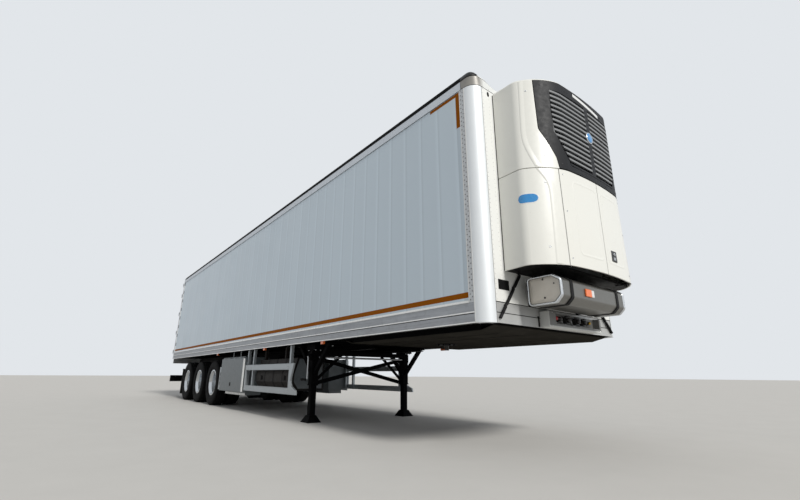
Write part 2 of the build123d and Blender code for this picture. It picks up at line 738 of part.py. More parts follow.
def make_landing_gear():
    housings, feet = [], []
    x = at(LEG_BACK)
    half = LEG_OUTER / 2
    face = LEG_Y - half
    beam_top = CROSS_BOTTOM - BEAM_SHALLOW
    beam_bottom = beam_top - LEG_BEAM
    frame = block(x - 60, x + 60, -face, face, beam_bottom, beam_top)
    for side in (-1, 1):
        housing, foot = leg_parts(side)
        housings.append(housing)
        feet.append(foot)
        y = side * LEG_Y
        frame += block(x - 150, x + 150, y - half - 12, y + half + 12, LEG_HOUSING_TOP, CROSS_BOTTOM)
        for end in (-1, 1):
            frame += bar((x + end * (half - 20), y, 740), (x + end * 480, y, CROSS_BOTTOM - 25),
                         60, 60, up=(0, 1, 0))
            frame += block(x + end * 420, x + end * 560, y - 45, y + 45,
                           CROSS_BOTTOM - 40, CROSS_BOTTOM)
        frame += bar((x - 20, side * (face + 20), 620), (x - 20, side * (face - 470), beam_bottom + 8),
                     50, 12)
    for tilt in (-1, 1):
        cross_x = x - 40 + 8 * tilt
        frame += bar((cross_x, -face - 10, LEG_CROSS - tilt * LEG_CROSS_RISE),
                     (cross_x, face + 10, LEG_CROSS + tilt * LEG_CROSS_RISE), 64, 16)
    for side, housing in ((-1, housings[0]), (1, housings[1])):
        frame = frame - leg_block(side, 4)
        frame = frame + housing
    save("landing_gear_frame", frame)
    save("inner_legs", *feet)
    shaft_x, shaft_z = x + 20, 1005.0
    crank_y = -(LEG_Y + half)
    shaft = rod((shaft_x, crank_y - 70, shaft_z), (shaft_x, crank_y, shaft_z), 13)
    shaft += rod((shaft_x, crank_y - 60, shaft_z), (shaft_x, crank_y - 60, 640), 10)
    shaft += rod((shaft_x, crank_y - 60, 650), (shaft_x, crank_y - 170, 650), 12)
    save("leg_crank", shaft, rod((shaft_x, -face, shaft_z), (shaft_x, face, shaft_z), 16))


# Side guards, lockers and pallet box


def locker(side):
    """Sheet box with an open outer side, and a top-hinged flap over it."""
    outer = HALF_WIDTH - LOCKER_DOOR - 8
    inner = outer - LOCKER_DEPTH
    y0, y1 = sorted((side * outer, side * inner))
    x0, x1 = at(LOCKER_REAR), at(LOCKER_FRONT)
    t = LOCKER_SHEET
    body = block(x0, x1, y0, y1, LOCKER_BOTTOM, LOCKER_TOP)
    if side < 0:
        hollow = block(x0 + t, x1 - t, y0 - 1, y1 - t, LOCKER_BOTTOM + t, LOCKER_TOP - t)
    else:
        hollow = block(x0 + t, x1 - t, y0 + t, y1 + 1, LOCKER_BOTTOM + t, LOCKER_TOP - t)
    body -= hollow
    body += block(x0 + 120, x1 - 100, side * (outer - 90), side * (outer - 420),
                  LOCKER_BOTTOM - LOCKER_TRAY, LOCKER_BOTTOM)
    hang = CROSS_BOTTOM
    for back in (nearest_member(LOCKER_FRONT + 400), nearest_member(LOCKER_REAR - 400)):
        x_low, x_high = at(back + CROSS_FLANGE), at(back)
        body += block(x_low, x_high, side * (outer - 60), side * (outer - 68), LOCKER_TOP, hang)
        body += block(x_low, x_high, side * (outer - 60), side * (outer - 140), hang - 8, hang)
    return body


def locker_hinge_axis(side):
    return side * (HALF_WIDTH - LOCKER_DOOR - 8 + 7), LOCKER_TOP - 9


def locker_door(side):
    y_axis, z_axis = locker_hinge_axis(side)
    y0, y1 = sorted((side * HALF_WIDTH, side * (HALF_WIDTH - LOCKER_DOOR)))
    x0, x1 = at(LOCKER_REAR), at(LOCKER_FRONT)
    panel = block(x0, x1, y0, y1, LOCKER_BOTTOM - 18, z_axis - 9)
    panel = chamfer(panel.faces().sort_by(Axis.Y)[0 if side < 0 else -1].edges(), 6)
    for index in range(LOCKER_SLEEVES):
        start = locker_sleeve_start(index)
        panel += hinge_sleeve(start, start + LOCKER_SLEEVE, y_axis, z_axis, side)
    return panel


def locker_sleeve_start(index):
    span = LOCKER_REAR - LOCKER_FRONT - 60
    return at(LOCKER_REAR) + 60 + index * span / LOCKER_SLEEVES


def hinge_sleeve(x0, x1, y, z, side):
    sleeve = rod((x0, y, z), (x1, y, z), LOCKER_KNUCKLE_R)
    tab = block(x0, x1, y, side * HALF_WIDTH - side * 8, z - 12, z - 2)
    sleeve = sleeve + tab - rod((x0 - 1, y, z), (x1 + 1, y, z), LOCKER_PIN_R + 0.4)
    return sleeve


def locker_hinge(side):
    """Hinge pin along the locker's top edge, held by lugs on its top sheet."""
    y, z = locker_hinge_axis(side)
    x0, x1 = at(LOCKER_REAR), at(LOCKER_FRONT)
    result = rod((x0 + 40, y, z), (x1 - 40, y, z), LOCKER_PIN_R)
    inner = side * (HALF_WIDTH - LOCKER_DOOR - 8 - 6)
    for index in range(LOCKER_SLEEVES):
        start = locker_sleeve_start(index)
        for a, b in ((start - 22, start - 2), (start + LOCKER_SLEEVE + 2, start + LOCKER_SLEEVE + 22)):
            result += rod((a, y, z), (b, y, z), LOCKER_KNUCKLE_R)
            result += block(a, b, y, inner, z - 3, LOCKER_TOP)
    return result


def side_guard(side):
    """Two rails with a waisted front post, a rear panel and three hangers."""
    outer = HALF_WIDTH - GUARD_INSET
    inner = outer - GUARD_THICK
    y0, y1 = sorted((side * outer, side * inner))
    top = GUARD_UPPER + GUARD_RAIL
    front = at(GUARD_FRONT)
    outline = [
        (at(GUARD_REAR), GUARD_LOWER), (front, GUARD_LOWER), (front - 12, GUARD_LOWER + 68),
        (front - 185, GUARD_LOWER + 133), (front - 235, GUARD_LOWER + 218),
        (front - 125, top), (at(GUARD_REAR), top),
    ]
    frame = prism_y(outline, y0, y1)
    frame -= block(at(GUARD_WINDOW_REAR), at(GUARD_WINDOW_FRONT), y0 - 1, y1 + 1,
                   GUARD_LOWER + GUARD_RAIL, GUARD_UPPER)
    for back in (6350.0, 6030.0, GUARD_WINDOW_FRONT + 30):
        frame += block(at(back + 50), at(back), side * inner, side * (inner - 50),
                       GUARD_LOWER + 20, RAIL_BOTTOM)
    return frame


def slot_plate(side):
    """Narrow plate behind the locker with three upright slots, and its two brackets."""
    outer = HALF_WIDTH - GUARD_INSET
    rear, front = at(SLOT_PLATE_REAR), at(LOCKER_REAR) - FIT
    plate = block(rear, front, side * outer, side * (outer - 6), LOCKER_BOTTOM, 880)
    for index in range(3):
        low = 480 + index * 105
        plate -= block(rear + 40, rear + 80, side * (outer + 1), side * (outer - 7), low, low + 75)
    for low in (LOCKER_BOTTOM + 20, 820):
        plate += block(front - 8, front, side * (outer - 6), side * (outer - 80), low, low + 40)
    return plate


def make_side_gear():
    save("lockers", locker(-1) + locker_hinge(-1), locker(1) + locker_hinge(1))
    save("locker_door_right", locker_door(-1))
    save("locker_door_left", locker_door(1))
    save("side_guards", side_guard(-1), side_guard(1), slot_plate(-1), slot_plate(1))
    outer, inner = -PALLET_OUTER, -PALLET_INNER
    section = [
        (outer + PALLET_CHAMFER, PALLET_BOTTOM), (inner, PALLET_BOTTOM), (inner, PALLET_TOP),
        (outer + PALLET_CHAMFER, PALLET_TOP), (outer, PALLET_FOLD_HIGH), (outer, PALLET_FOLD_LOW),
    ]
    case = prism_x(section, at(PALLET_REAR), at(PALLET_FRONT))
    for back in (nearest_member(PALLET_FRONT + 700), nearest_member(PALLET_REAR - 200)):
        case += block(at(back + CROSS_FLANGE), at(back), outer + 145, outer + 205,
                      PALLET_TOP, CROSS_BOTTOM)
    save("pallet_box", case)


# Rear gear


def make_rear_gear():
    bar_back = BODY_LENGTH + 30
    bumper = block(at(bar_back), at(bar_back - 90), -1240, 1240, 477, 676)
    bumper = fillet(bumper.edges().filter_by(Axis.Y), 14)
    for side in (-1, 1):
        y = side * BEAM_Y
        beam_end = BODY_LENGTH - BEAM_REAR_SHORT
        bumper += prism_y([
            (at(bar_back - 88), 500), (at(bar_back - 88), 660), (at(beam_end + 60), 1040),
            (at(beam_end + 60), 1180), (at(beam_end), 1180), (at(beam_end), 850),
        ], y - 30, y + 30)
    save("underride_bar", bumper)
    lamps = []
    for side in (-1, 1):
        for offset, radius in ((1130, 62), (980, 62), (830, 62)):
            plane = Plane(origin=(at(FRAME_BACK - LAMP_PANEL_AHEAD), side * offset, 1130),
                          z_dir=(-1, 0, 0))
            lamps.append(extrude(plane * Circle(radius), amount=28))
    save("tail_lamps", *lamps)
    flaps = []
    for side in (-1, 1):
        y0, y1 = sorted((side * 1245, side * 640))
        x = at(AXLE_BACKS[-1] + 640)
        flap = block(x - 6, x, y0, y1, 150, 830)
        flap += block(x - 30, x + 4, side * 1245, side * (BEAM_Y + BEAM_FLANGE / 2), 830, 870)
        flaps.append(flap)
    save("mud_flaps", *flaps)


# Air system and lights


def make_services():
    tanks = []
    for y in (-190.0, 190.0):
        tank = rod((at(AIR_TANK_REAR), y, 900), (at(AIR_TANK_REAR - 820), y, 900), AIR_TANK_R)
        tank = chamfer(tank.edges().filter_by(GeomType.CIRCLE), 40)
        for near in (AIR_TANK_REAR - 120, AIR_TANK_REAR - 600):
            back = nearest_member(near)
            tank += block(at(back + CROSS_FLANGE), at(back), y - 20, y + 20, 1000, CROSS_BOTTOM)
        tanks.append(tank)
    save("air_tanks", *tanks)
    markers = []
    for side in (-1, 1):
        for back in MARKER_BACKS:
            y0, y1 = sorted((side * (HALF_WIDTH - 6), side * (HALF_WIDTH - 40)))
            markers.append(block(at(back + 38), at(back - 38), y0, y1,
                                 RAIL_BOTTOM - 42, RAIL_BOTTOM))
    save("marker_lamps", *markers)


# Cooling unit

# Plan sections of the unit: height, half width, end of the flat side, then the
# corner's end and the depth at the middle line, all from the front wall's face.
UNIT_SECTIONS = [
    # (z, rear_half, fold_half, corner_y, corner_x, bow_x)
    (UNIT_BOTTOM, 925.0, 957.0, 560.0, 555.0, 592.0),
    (UNIT_SEAM, 915.0, 930.0, 510.0, 575.0, 602.0),
    (UNIT_TOP, 908.0, 902.0, 500.0, 588.0, 608.0),
]


def unit_curve(fold_x, fold_half, corner_y, corner_x):
    """Middle point, circle centre and radius of the curve from the side's fold to the front."""
    run, rise = corner_x - fold_x, fold_half - corner_y
    chord = math.hypot(run, rise)
    radius = (chord ** 2 / 4 + UNIT_BULGE ** 2) / (2 * UNIT_BULGE)
    out_x, out_y = rise / chord, run / chord
    chord_x, chord_y = (fold_x + corner_x) / 2, (fold_half + corner_y) / 2
    middle = (chord_x + out_x * UNIT_BULGE, chord_y + out_y * UNIT_BULGE)
    centre = (middle[0] - out_x * radius, middle[1] - out_y * radius)
    return middle, centre, radius


def unit_section(row, inset):
    """Plan outline of the unit at one height, moved inwards by inset."""
    z, rear_half, fold_half, corner_y, corner_x, bow_x = row
    rear_half, fold_half = rear_half - inset, fold_half - inset
    corner_y, corner_x, bow_x = corner_y - 0.2 * inset, corner_x - inset, bow_x - inset
    fold_x = UNIT_FOLD_X - 0.3 * inset
    mid_x, mid_y = unit_curve(fold_x, fold_half, corner_y, corner_x)[0]

    def point(x, y):
        return Vector(X_FRONT + x, y, z)

    edges = [
        Edge.make_line(point(0, -rear_half), point(fold_x, -fold_half)),
        Edge.make_three_point_arc(point(fold_x, -fold_half), point(mid_x, -mid_y),
                                  point(corner_x, -corner_y)),
        Edge.make_three_point_arc(point(corner_x, -corner_y), point(bow_x, 0),
                                  point(corner_x, corner_y)),
        Edge.make_three_point_arc(point(corner_x, corner_y), point(mid_x, mid_y),
                                  point(fold_x, fold_half)),
        Edge.make_line(point(fold_x, fold_half), point(0, rear_half)),
        Edge.make_line(point(0, rear_half), point(0, -rear_half)),
    ]
    face = Face(Wire(edges))
    folds = [v for v in face.vertices() if abs(v.X - X_FRONT - fold_x) < 1]
    return face.fillet_2d(UNIT_FOLD_RADIUS, folds)


def unit_form(inset):
    faces = [unit_section(row, inset) for row in UNIT_SECTIONS]
    return Solid.make_loft([face.outer_wire() for face in faces], ruled=True)


def s_curve_prism(shift):
    """Front-view region inside the cowl's S-shaped edge, drawn in by shift."""
    side = [
        (780 - shift, UNIT_TOP + 60), (780 - shift, 3185),
        (642 - shift, 2865), (620 - shift, UNIT_SEAM + shift),
    ]
    right = FilletPolyline(*[Vector(X_FRONT + 300, -y, z) for y, z in side], radius=120)
    left = FilletPolyline(*[Vector(X_FRONT + 300, y, z) for y, z in side], radius=120)
    ends = [
        Edge.make_line(Vector(X_FRONT + 300, -side[-1][0], side[-1][1]),
                       Vector(X_FRONT + 300, side[-1][0], side[-1][1])),
        Edge.make_line(Vector(X_FRONT + 300, -side[0][0], side[0][1]),
                       Vector(X_FRONT + 300, side[0][0], side[0][1])),
    ]
    face = Face(Wire(list(right.edges()) + list(left.edges()) + ends))
    return extrude(face, amount=400, dir=(1, 0, 0))


def louvre_region():
    """Front-view field of the louvres: it narrows towards its foot."""
    half = [
        (632, LOUVRE_TOP + 25), (640, 3400), (624, 3170), (548, 2985), (440, LOUVRE_BOTTOM - 25),
    ]
    points = [(-y, z) for y, z in half] + [(y, z) for y, z in reversed(half)]
    return prism_x(points, X_FRONT + 300, X_FRONT + 700)


def save_unit(name, *shapes):
    """Save a node of the unit, which is drawn about its own middle plane."""
    save(name, *[Pos(0, UNIT_MIDDLE, 0) * shape for shape in shapes])


def make_unit():
    outer = unit_form(0)
    inner = unit_form(UNIT_SKIN)
    shell = outer - inner
    far = 2000.0
    back = X_FRONT + UNIT_SEAL
    upper_zone = block(back, X_FRONT + 900, -far, far, UNIT_SEAM, UNIT_TOP - UNIT_CAP)
    lower_zone = block(back, X_FRONT + 900, -far, far, UNIT_BOTTOM, UNIT_SEAM - UNIT_GAP)
    cowl_zone = s_curve_prism(0)
    upper = (shell & upper_zone) - cowl_zone
    sides = upper.solids().sort_by(Axis.Y)
    cap = unit_cap() & block(back, X_FRONT + 900, -far, far, UNIT_SEAM, UNIT_TOP)
    save_unit("unit_hood", cap + sides[0] + sides[-1])

    edge = UNIT_DOOR_Y + UNIT_GAP
    lower = shell & lower_zone
    front_zone = block(X_FRONT + 300, X_FRONT + 900, -edge, edge, UNIT_BOTTOM - 1, UNIT_SEAM)
    lower_sides = (lower - front_zone).solids().sort_by(Axis.Y)
    save_unit("unit_lower_sides", lower_sides[0], lower_sides[-1])
    for side, name in ((-1, "right"), (1, "left")):
        y0, y1 = sorted((side * UNIT_GAP / 2, side * UNIT_DOOR_Y))
        zone = block(X_FRONT + 300, X_FRONT + 900, y0, y1, UNIT_BOTTOM - 1, UNIT_SEAM)
        door = lower & zone
        x, y = unit_pivot(side)
        for z0, z1 in ((UNIT_BOTTOM - 11, UNIT_BOTTOM + 4), (UNIT_SEAM - UNIT_GAP - 4, UNIT_SEAM - 1)):
            door += Pos(x, y, z0) * extrude(Circle(UNIT_PIN_R), amount=z1 - z0)
        save_unit(f"unit_door_{name}", door)

    save_unit("unit_cowl", unit_cowl(shell, cowl_zone))
    make_unit_core()


def unit_pivot(side):
    """Pivot line of a lower front door, in the middle of its skin."""
    y = UNIT_DOOR_Y - UNIT_PIVOT_IN
    reach = []
    for row in UNIT_SECTIONS[:2]:
        centre, radius = unit_curve(UNIT_FOLD_X, *row[2:5])[1:]
        reach.append(centre[0] + math.sqrt(radius ** 2 - (y - centre[1]) ** 2))
    return X_FRONT + sum(reach) / 2 - UNIT_SKIN / 2, side * y


def unit_cowl(shell, cowl_zone):
    """Dark front cowl with tilted louvre blades either side of a middle bar."""
    zone = block(X_FRONT + 300, X_FRONT + 900, -2000, 2000, UNIT_SEAM, UNIT_TOP - UNIT_CAP - FIT)
    cowl = (shell & zone) & s_curve_prism(6)
    field = louvre_region()
    cowl -= field
    band = unit_form(-LOUVRE_PROUD) - unit_form(UNIT_SKIN + 20)
    blade_field = band & field
    pitch = (LOUVRE_TOP - LOUVRE_BOTTOM) / (LOUVRE_ROWS - 1)
    tilt, thick = 26.0, 24.0
    lattice = block(X_FRONT + 300, X_FRONT + 900, -36, 36, LOUVRE_BOTTOM - 40, LOUVRE_TOP + 40)
    blades = []
    for row in range(LOUVRE_ROWS):
        z = LOUVRE_BOTTOM + row * pitch
        x0, x1 = X_FRONT + 380, X_FRONT + 660
        slope = math.tan(math.radians(tilt))
        middle = X_FRONT + 570
        blade = [
            (x0, z + (middle - x0) * slope - thick / 2), (x1, z + (middle - x1) * slope - thick / 2),
            (x1, z + (middle - x1) * slope + thick / 2), (x0, z + (middle - x0) * slope + thick / 2),
        ]
        blades.append(prism_y(blade, -900, 900))
    return cowl + (blade_field & (lattice + blades))


def unit_cap():
    """Roof of the unit with a small slope round its edge."""
    row = UNIT_SECTIONS[2][1:]
    low, high = UNIT_TOP - UNIT_CAP, UNIT_TOP
    return loft([unit_section((low,) + row, 0), unit_section((high,) + row, 12)])


def pivot_lug(side, z0, z1, riser_z0, riser_z1):
    """Plate with the hole for a door's pivot pin, on a riser from the frame."""
    x, y = unit_pivot(side)
    plate = block(X_FRONT + 380, x + 9, y - 9, y + 9, z0, z1)
    plate += block(X_FRONT + 380, X_FRONT + 400, y - 9, y + 9, riser_z0, riser_z1)
    return plate - Pos(x, y, z0 - 1) * extrude(Circle(UNIT_PIN_R + 0.4), amount=z1 - z0 + 2)


def make_unit_core():
    """Back plate, shelf and tray of the unit with the coil behind the louvres."""
    back = X_FRONT + FIT
    frame = block(back, X_FRONT + 30, -885, 885, UNIT_BOTTOM + 5, UNIT_TOP - UNIT_CAP - FIT)
    shelf_low, shelf_high = UNIT_SEAM + 9, UNIT_SEAM + 24
    shelf = block(back, X_FRONT + 900, -1000, 1000, shelf_low, shelf_high)
    tray = block(back, X_FRONT + 420, -1000, 1000, UNIT_BOTTOM + 5, UNIT_BOTTOM + 30)
    room = unit_form(UNIT_SKIN + FIT)
    frame += room & shelf
    frame += room & tray
    for side in (-1, 1):
        frame += pivot_lug(side, UNIT_BOTTOM - 10, UNIT_BOTTOM - 3, UNIT_BOTTOM - 10, UNIT_BOTTOM + 20)
        frame += pivot_lug(side, UNIT_SEAM - 6, UNIT_SEAM - 1, UNIT_SEAM - 6, shelf_high)
    frame += block(X_FRONT + 400, X_FRONT + 470, -610, 610, shelf_high - 1, 3700)
    save_unit("unit_frame", frame)
    engine = block(X_FRONT + 60, X_FRONT + 370, -420, 380, UNIT_BOTTOM + 30, 2450)
    save_unit("unit_engine", chamfer(engine.edges().filter_by(Axis.Z), 40))


# Tank, coupling box and hoses


def tank_outline(grow):
    """Section of the tank as (x, z) points with its front edges cut, grown outwards."""
    b, f, l, t = TANK_BACK_X - grow, TANK_FRONT_X + grow, TANK_BOTTOM - grow, TANK_TOP + grow
    return [
        (b, l), (f - TANK_LOW_CUT, l), (f, l + TANK_LOW_CUT), (f, t - TANK_HIGH_CUT),
        (f - TANK_HIGH_RUN, t), (b, t),
    ]


def tank_prism(grow, y0, y1, radius):
    points = [(X_FRONT + x, z) for x, z in tank_outline(grow)]
    solid = prism_y(points, y0, y1)
    return fillet(solid.edges().filter_by(Axis.Y), radius)


def make_tank():
    tank = tank_prism(0, TANK_NEAR, TANK_FAR, TANK_ROUND)
    for y0, y1 in ((TANK_NEAR - 1, TANK_NEAR + 12), (TANK_FAR - 12, TANK_FAR + 1)):
        tank -= tank_prism(-14, y0, y1, TANK_ROUND - 14)
    save("fuel_tank", tank)
    straps = []
    for y in TANK_STRAPS:
        band = tank_prism(6, y - 24, y + 24, TANK_ROUND + 6)
        band -= tank_prism(FIT, y - 25, y + 25, TANK_ROUND)
        band += block(X_FRONT + FIT, X_FRONT + TANK_BACK_X - 5, y - 24, y + 24,
                      TANK_BOTTOM + 30, TANK_TOP - 20)
        straps.append(band)
    save("tank_straps", *straps)
    depth = 105.0
    box_y0, box_y1 = -430.0, 650.0
    x0, x1 = X_FRONT + FIT, X_FRONT + depth
    case = block(x0, x1, box_y0, box_y1, 1212, 1372)
    case -= block(X_FRONT + 25, x1 + 1, box_y0 + 130, box_y1 - 30, 1250, 1373)
    save("coupling_box", case)
    fittings = []
    for y, radius in ((-268, 28), (-181, 32), (-15, 40), (186, 40), (331, 36), (424, 22)):
        plane = Plane(origin=(X_FRONT + 25, y, 1310), z_dir=(1, 0, 0))
        body = extrude(plane * Circle(radius), amount=45)
        body += extrude(Plane(origin=(X_FRONT + 70, y, 1310), z_dir=(1, 0, 0)) * Circle(radius * 0.7),
                        amount=20)
        fittings.append(body)
    save("gladhands", *fittings)


HOSE_HEAD_Y = 700.0
HOSE_FOOT_Y = 1105.0
HOSE_FOOT_Z = 1250.0
HOSE_R = 12.0


def drain_hose(side):
    """Drain hose from the unit's tray slanting down to the rail, with its clips."""
    x = X_FRONT + HOSE_R + 4
    y, top = UNIT_MIDDLE + side * HOSE_HEAD_Y, UNIT_BOTTOM + 5 - FIT
    head = (x, y, top - 20)
    foot = (x, side * HOSE_FOOT_Y, HOSE_FOOT_Z)
    hose = rod(head, foot, HOSE_R)
    hose += rod((x, y, top), (x, y, top - 30), HOSE_R + 2)
    along = Vector(*foot) - Vector(*head)
    nozzle = Vector(*foot) - along.normalized() * 55
    hose += rod((nozzle.X, nozzle.Y, nozzle.Z), foot, HOSE_R + 3)
    for part in (0.3, 0.72):
        place = Vector(*head) + along * part
        hose += block(X_FRONT + FIT, x, place.Y - 14, place.Y + 14, place.Z - 9, place.Z + 9)
    return hose


make_walls()
make_top()
make_rails()
make_floor()
make_rear()
make_underframe()
make_running_gear()
make_landing_gear()
make_side_gear()
make_rear_gear()
make_services()
make_unit()
make_tank()
save("drain_hoses", drain_hose(-1), drain_hose(1))
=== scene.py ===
import json
import math
from functools import cache
from itertools import product

import bpy
from mathutils import Matrix, Vector
from mathutils.bvhtree import BVHTree


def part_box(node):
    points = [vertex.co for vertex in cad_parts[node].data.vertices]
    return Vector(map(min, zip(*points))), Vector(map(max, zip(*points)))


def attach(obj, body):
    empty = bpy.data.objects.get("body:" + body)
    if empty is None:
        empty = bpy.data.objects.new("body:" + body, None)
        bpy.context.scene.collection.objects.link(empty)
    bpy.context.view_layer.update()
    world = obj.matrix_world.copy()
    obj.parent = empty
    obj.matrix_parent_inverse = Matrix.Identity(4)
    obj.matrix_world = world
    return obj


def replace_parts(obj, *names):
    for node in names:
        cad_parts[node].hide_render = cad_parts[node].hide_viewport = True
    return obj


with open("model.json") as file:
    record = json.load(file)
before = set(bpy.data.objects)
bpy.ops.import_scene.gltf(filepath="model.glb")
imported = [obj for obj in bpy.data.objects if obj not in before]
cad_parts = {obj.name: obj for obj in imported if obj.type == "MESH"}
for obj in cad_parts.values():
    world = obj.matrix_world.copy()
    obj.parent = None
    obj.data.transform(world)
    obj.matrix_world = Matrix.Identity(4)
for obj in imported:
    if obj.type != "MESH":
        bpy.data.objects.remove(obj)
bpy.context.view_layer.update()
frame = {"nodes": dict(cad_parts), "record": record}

scene = bpy.context.scene
nodes = frame["nodes"]

# The frame is in metres: X runs ahead, Y to the left, Z up.
X_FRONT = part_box("front_wall")[1].x
HALF = 1.275
UNIT_MIDDLE = -0.050
SIDES = ((-1, "right"), (1, "left"))
AHEAD, BACK, RIGHT, UP, DOWN = (1, 0, 0), (-1, 0, 0), (0, -1, 0), (0, 0, 1), (0, 0, -1)


def at(back):
    """X of a place given by its distance behind the front wall."""
    return X_FRONT - back


def ahead(distance):
    """X of a place given by its distance ahead of the front wall."""
    return X_FRONT + distance


def ring(count, radius=1.0, offset=0.0):
    """Points spaced evenly round a circle, as pairs; the offset is in steps."""
    turns = [2 * math.pi * (k + offset) / count for k in range(count)]
    return [(radius * math.cos(a), radius * math.sin(a)) for a in turns]


def steps(start, stop, pitch):
    """Places from start to stop, about one pitch apart."""
    count = max(1, round(abs(stop - start) / pitch))
    return [start + (stop - start) * k / count for k in range(count + 1)]


# Camera, fitted to the photo

CAMERA_X, CAMERA_Y, CAMERA_Z = 2.455, -4.30, 0.729
CAMERA_YAW, CAMERA_PITCH, CAMERA_ROLL = 142.113, 17.148, 0.375
FOCAL_PIXELS = 410.634
CENTRE_X, CENTRE_Y = 392.36, 248.21
IMAGE_WIDE, IMAGE_HIGH = 800, 500
SENSOR_WIDE = 36.0


def make_camera():
    data = bpy.data.cameras.new("view_camera")
    camera = bpy.data.objects.new("view_camera", data)
    scene.collection.objects.link(camera)
    yaw, pitch, roll = map(math.radians, (CAMERA_YAW, CAMERA_PITCH, CAMERA_ROLL))
    look = Vector((math.cos(pitch) * math.cos(yaw), math.cos(pitch) * math.sin(yaw),
                   math.sin(pitch)))
    right = Vector((math.sin(yaw), -math.cos(yaw), 0))
    up = right.cross(look)
    turned_right = right * math.cos(roll) + up * math.sin(roll)
    turned_up = up * math.cos(roll) - right * math.sin(roll)
    place = Matrix((turned_right, turned_up, -look)).transposed().to_4x4()
    place.translation = (ahead(CAMERA_X), CAMERA_Y, CAMERA_Z)
    camera.matrix_world = place
    data.sensor_fit = "HORIZONTAL"
    data.sensor_width = SENSOR_WIDE
    data.lens = FOCAL_PIXELS / IMAGE_WIDE * SENSOR_WIDE
    data.shift_x = (IMAGE_WIDE / 2 - CENTRE_X) / IMAGE_WIDE
    data.shift_y = (CENTRE_Y - IMAGE_HIGH / 2) / IMAGE_WIDE
    data.clip_end = 400.0
    scene.camera = camera


make_camera()
scene.view_settings.view_transform = "Standard"


# Materials


def tone(*rgb):
    """Linear colour from display values of 0 to 255."""
    values = [v / 255.0 for v in rgb]
    return (*(v / 12.92 if v <= 0.04045 else ((v + 0.055) / 1.055) ** 2.4 for v in values), 1.0)


class Graph:
    """Short way to write a node tree. A source is a pair: a node and one of its outputs."""

    COLOUR_A, COLOUR_B, COLOUR_OUT = 6, 7, 2

    def __init__(self, name):
        self.material = bpy.data.materials.new(name)
        self.material.use_nodes = True
        self.tree = self.material.node_tree
        self.tree.nodes.clear()
        self.place = self.new("ShaderNodeTexCoord", "Object")
        self.shader = self.new("ShaderNodeBsdfPrincipled", "BSDF")
        self.new("ShaderNodeOutputMaterial", "", {"Surface": self.shader})

    def wire(self, node, inputs):
        """Links each input to a source, or sets it where it gets a plain value."""
        for key, value in inputs.items():
            if isinstance(value, tuple) and isinstance(value[0], bpy.types.Node):
                self.tree.links.new(value[0].outputs[value[1]], node.inputs[key])
            else:
                node.inputs[key].default_value = value

    def new(self, kind, output, inputs=None, **settings):
        node = self.tree.nodes.new(kind)
        for key, value in settings.items():
            setattr(node, key, value)
        self.wire(node, inputs or {})
        return node, output

    def along(self, axis):
        """The place's X, Y or Z in the frame."""
        return self.new("ShaderNodeSeparateXYZ", axis, {"Vector": self.place})

    def off_middle(self, middle=None):
        """Distance from the middle line, or from another line beside it."""
        y = self.along("Y")
        return self.math("ABSOLUTE", y if middle is None else self.math("SUBTRACT", y, middle))

    def noise(self, scale, detail=4.0, rough=0.55, stretch=(1, 1, 1)):
        place = self.new("ShaderNodeMapping", "Vector", {"Vector": self.place, "Scale": stretch})
        return self.new("ShaderNodeTexNoise", "Fac", {
            "Vector": place, "Scale": scale, "Detail": detail, "Roughness": rough})

    def remap(self, source, low, high, to_low=0.0, to_high=1.0):
        return self.new("ShaderNodeMapRange", "Result", {
            "Value": source, "From Min": low, "From Max": high,
            "To Min": to_low, "To Max": to_high})

    def math(self, operation, *values):
        return self.new("ShaderNodeMath", "Value", dict(enumerate(values)), operation=operation)

    def times(self, total, *factors):
        for factor in factors:
            total = self.math("MULTIPLY", total, factor)
        return total

    def mix(self, factor, a, b, blend="MIX"):
        inputs = {"Factor": factor, self.COLOUR_A: a, self.COLOUR_B: b}
        return self.new("ShaderNodeMix", self.COLOUR_OUT, inputs, data_type="RGBA",
                        blend_type=blend)

    def shade(self, colour, factor, share=1.0):
        return self.mix(share, colour, factor, "MULTIPLY")

    def bevel(self, radius):
        return self.new("ShaderNodeBevel", "Normal", {"Radius": radius}, samples=4)


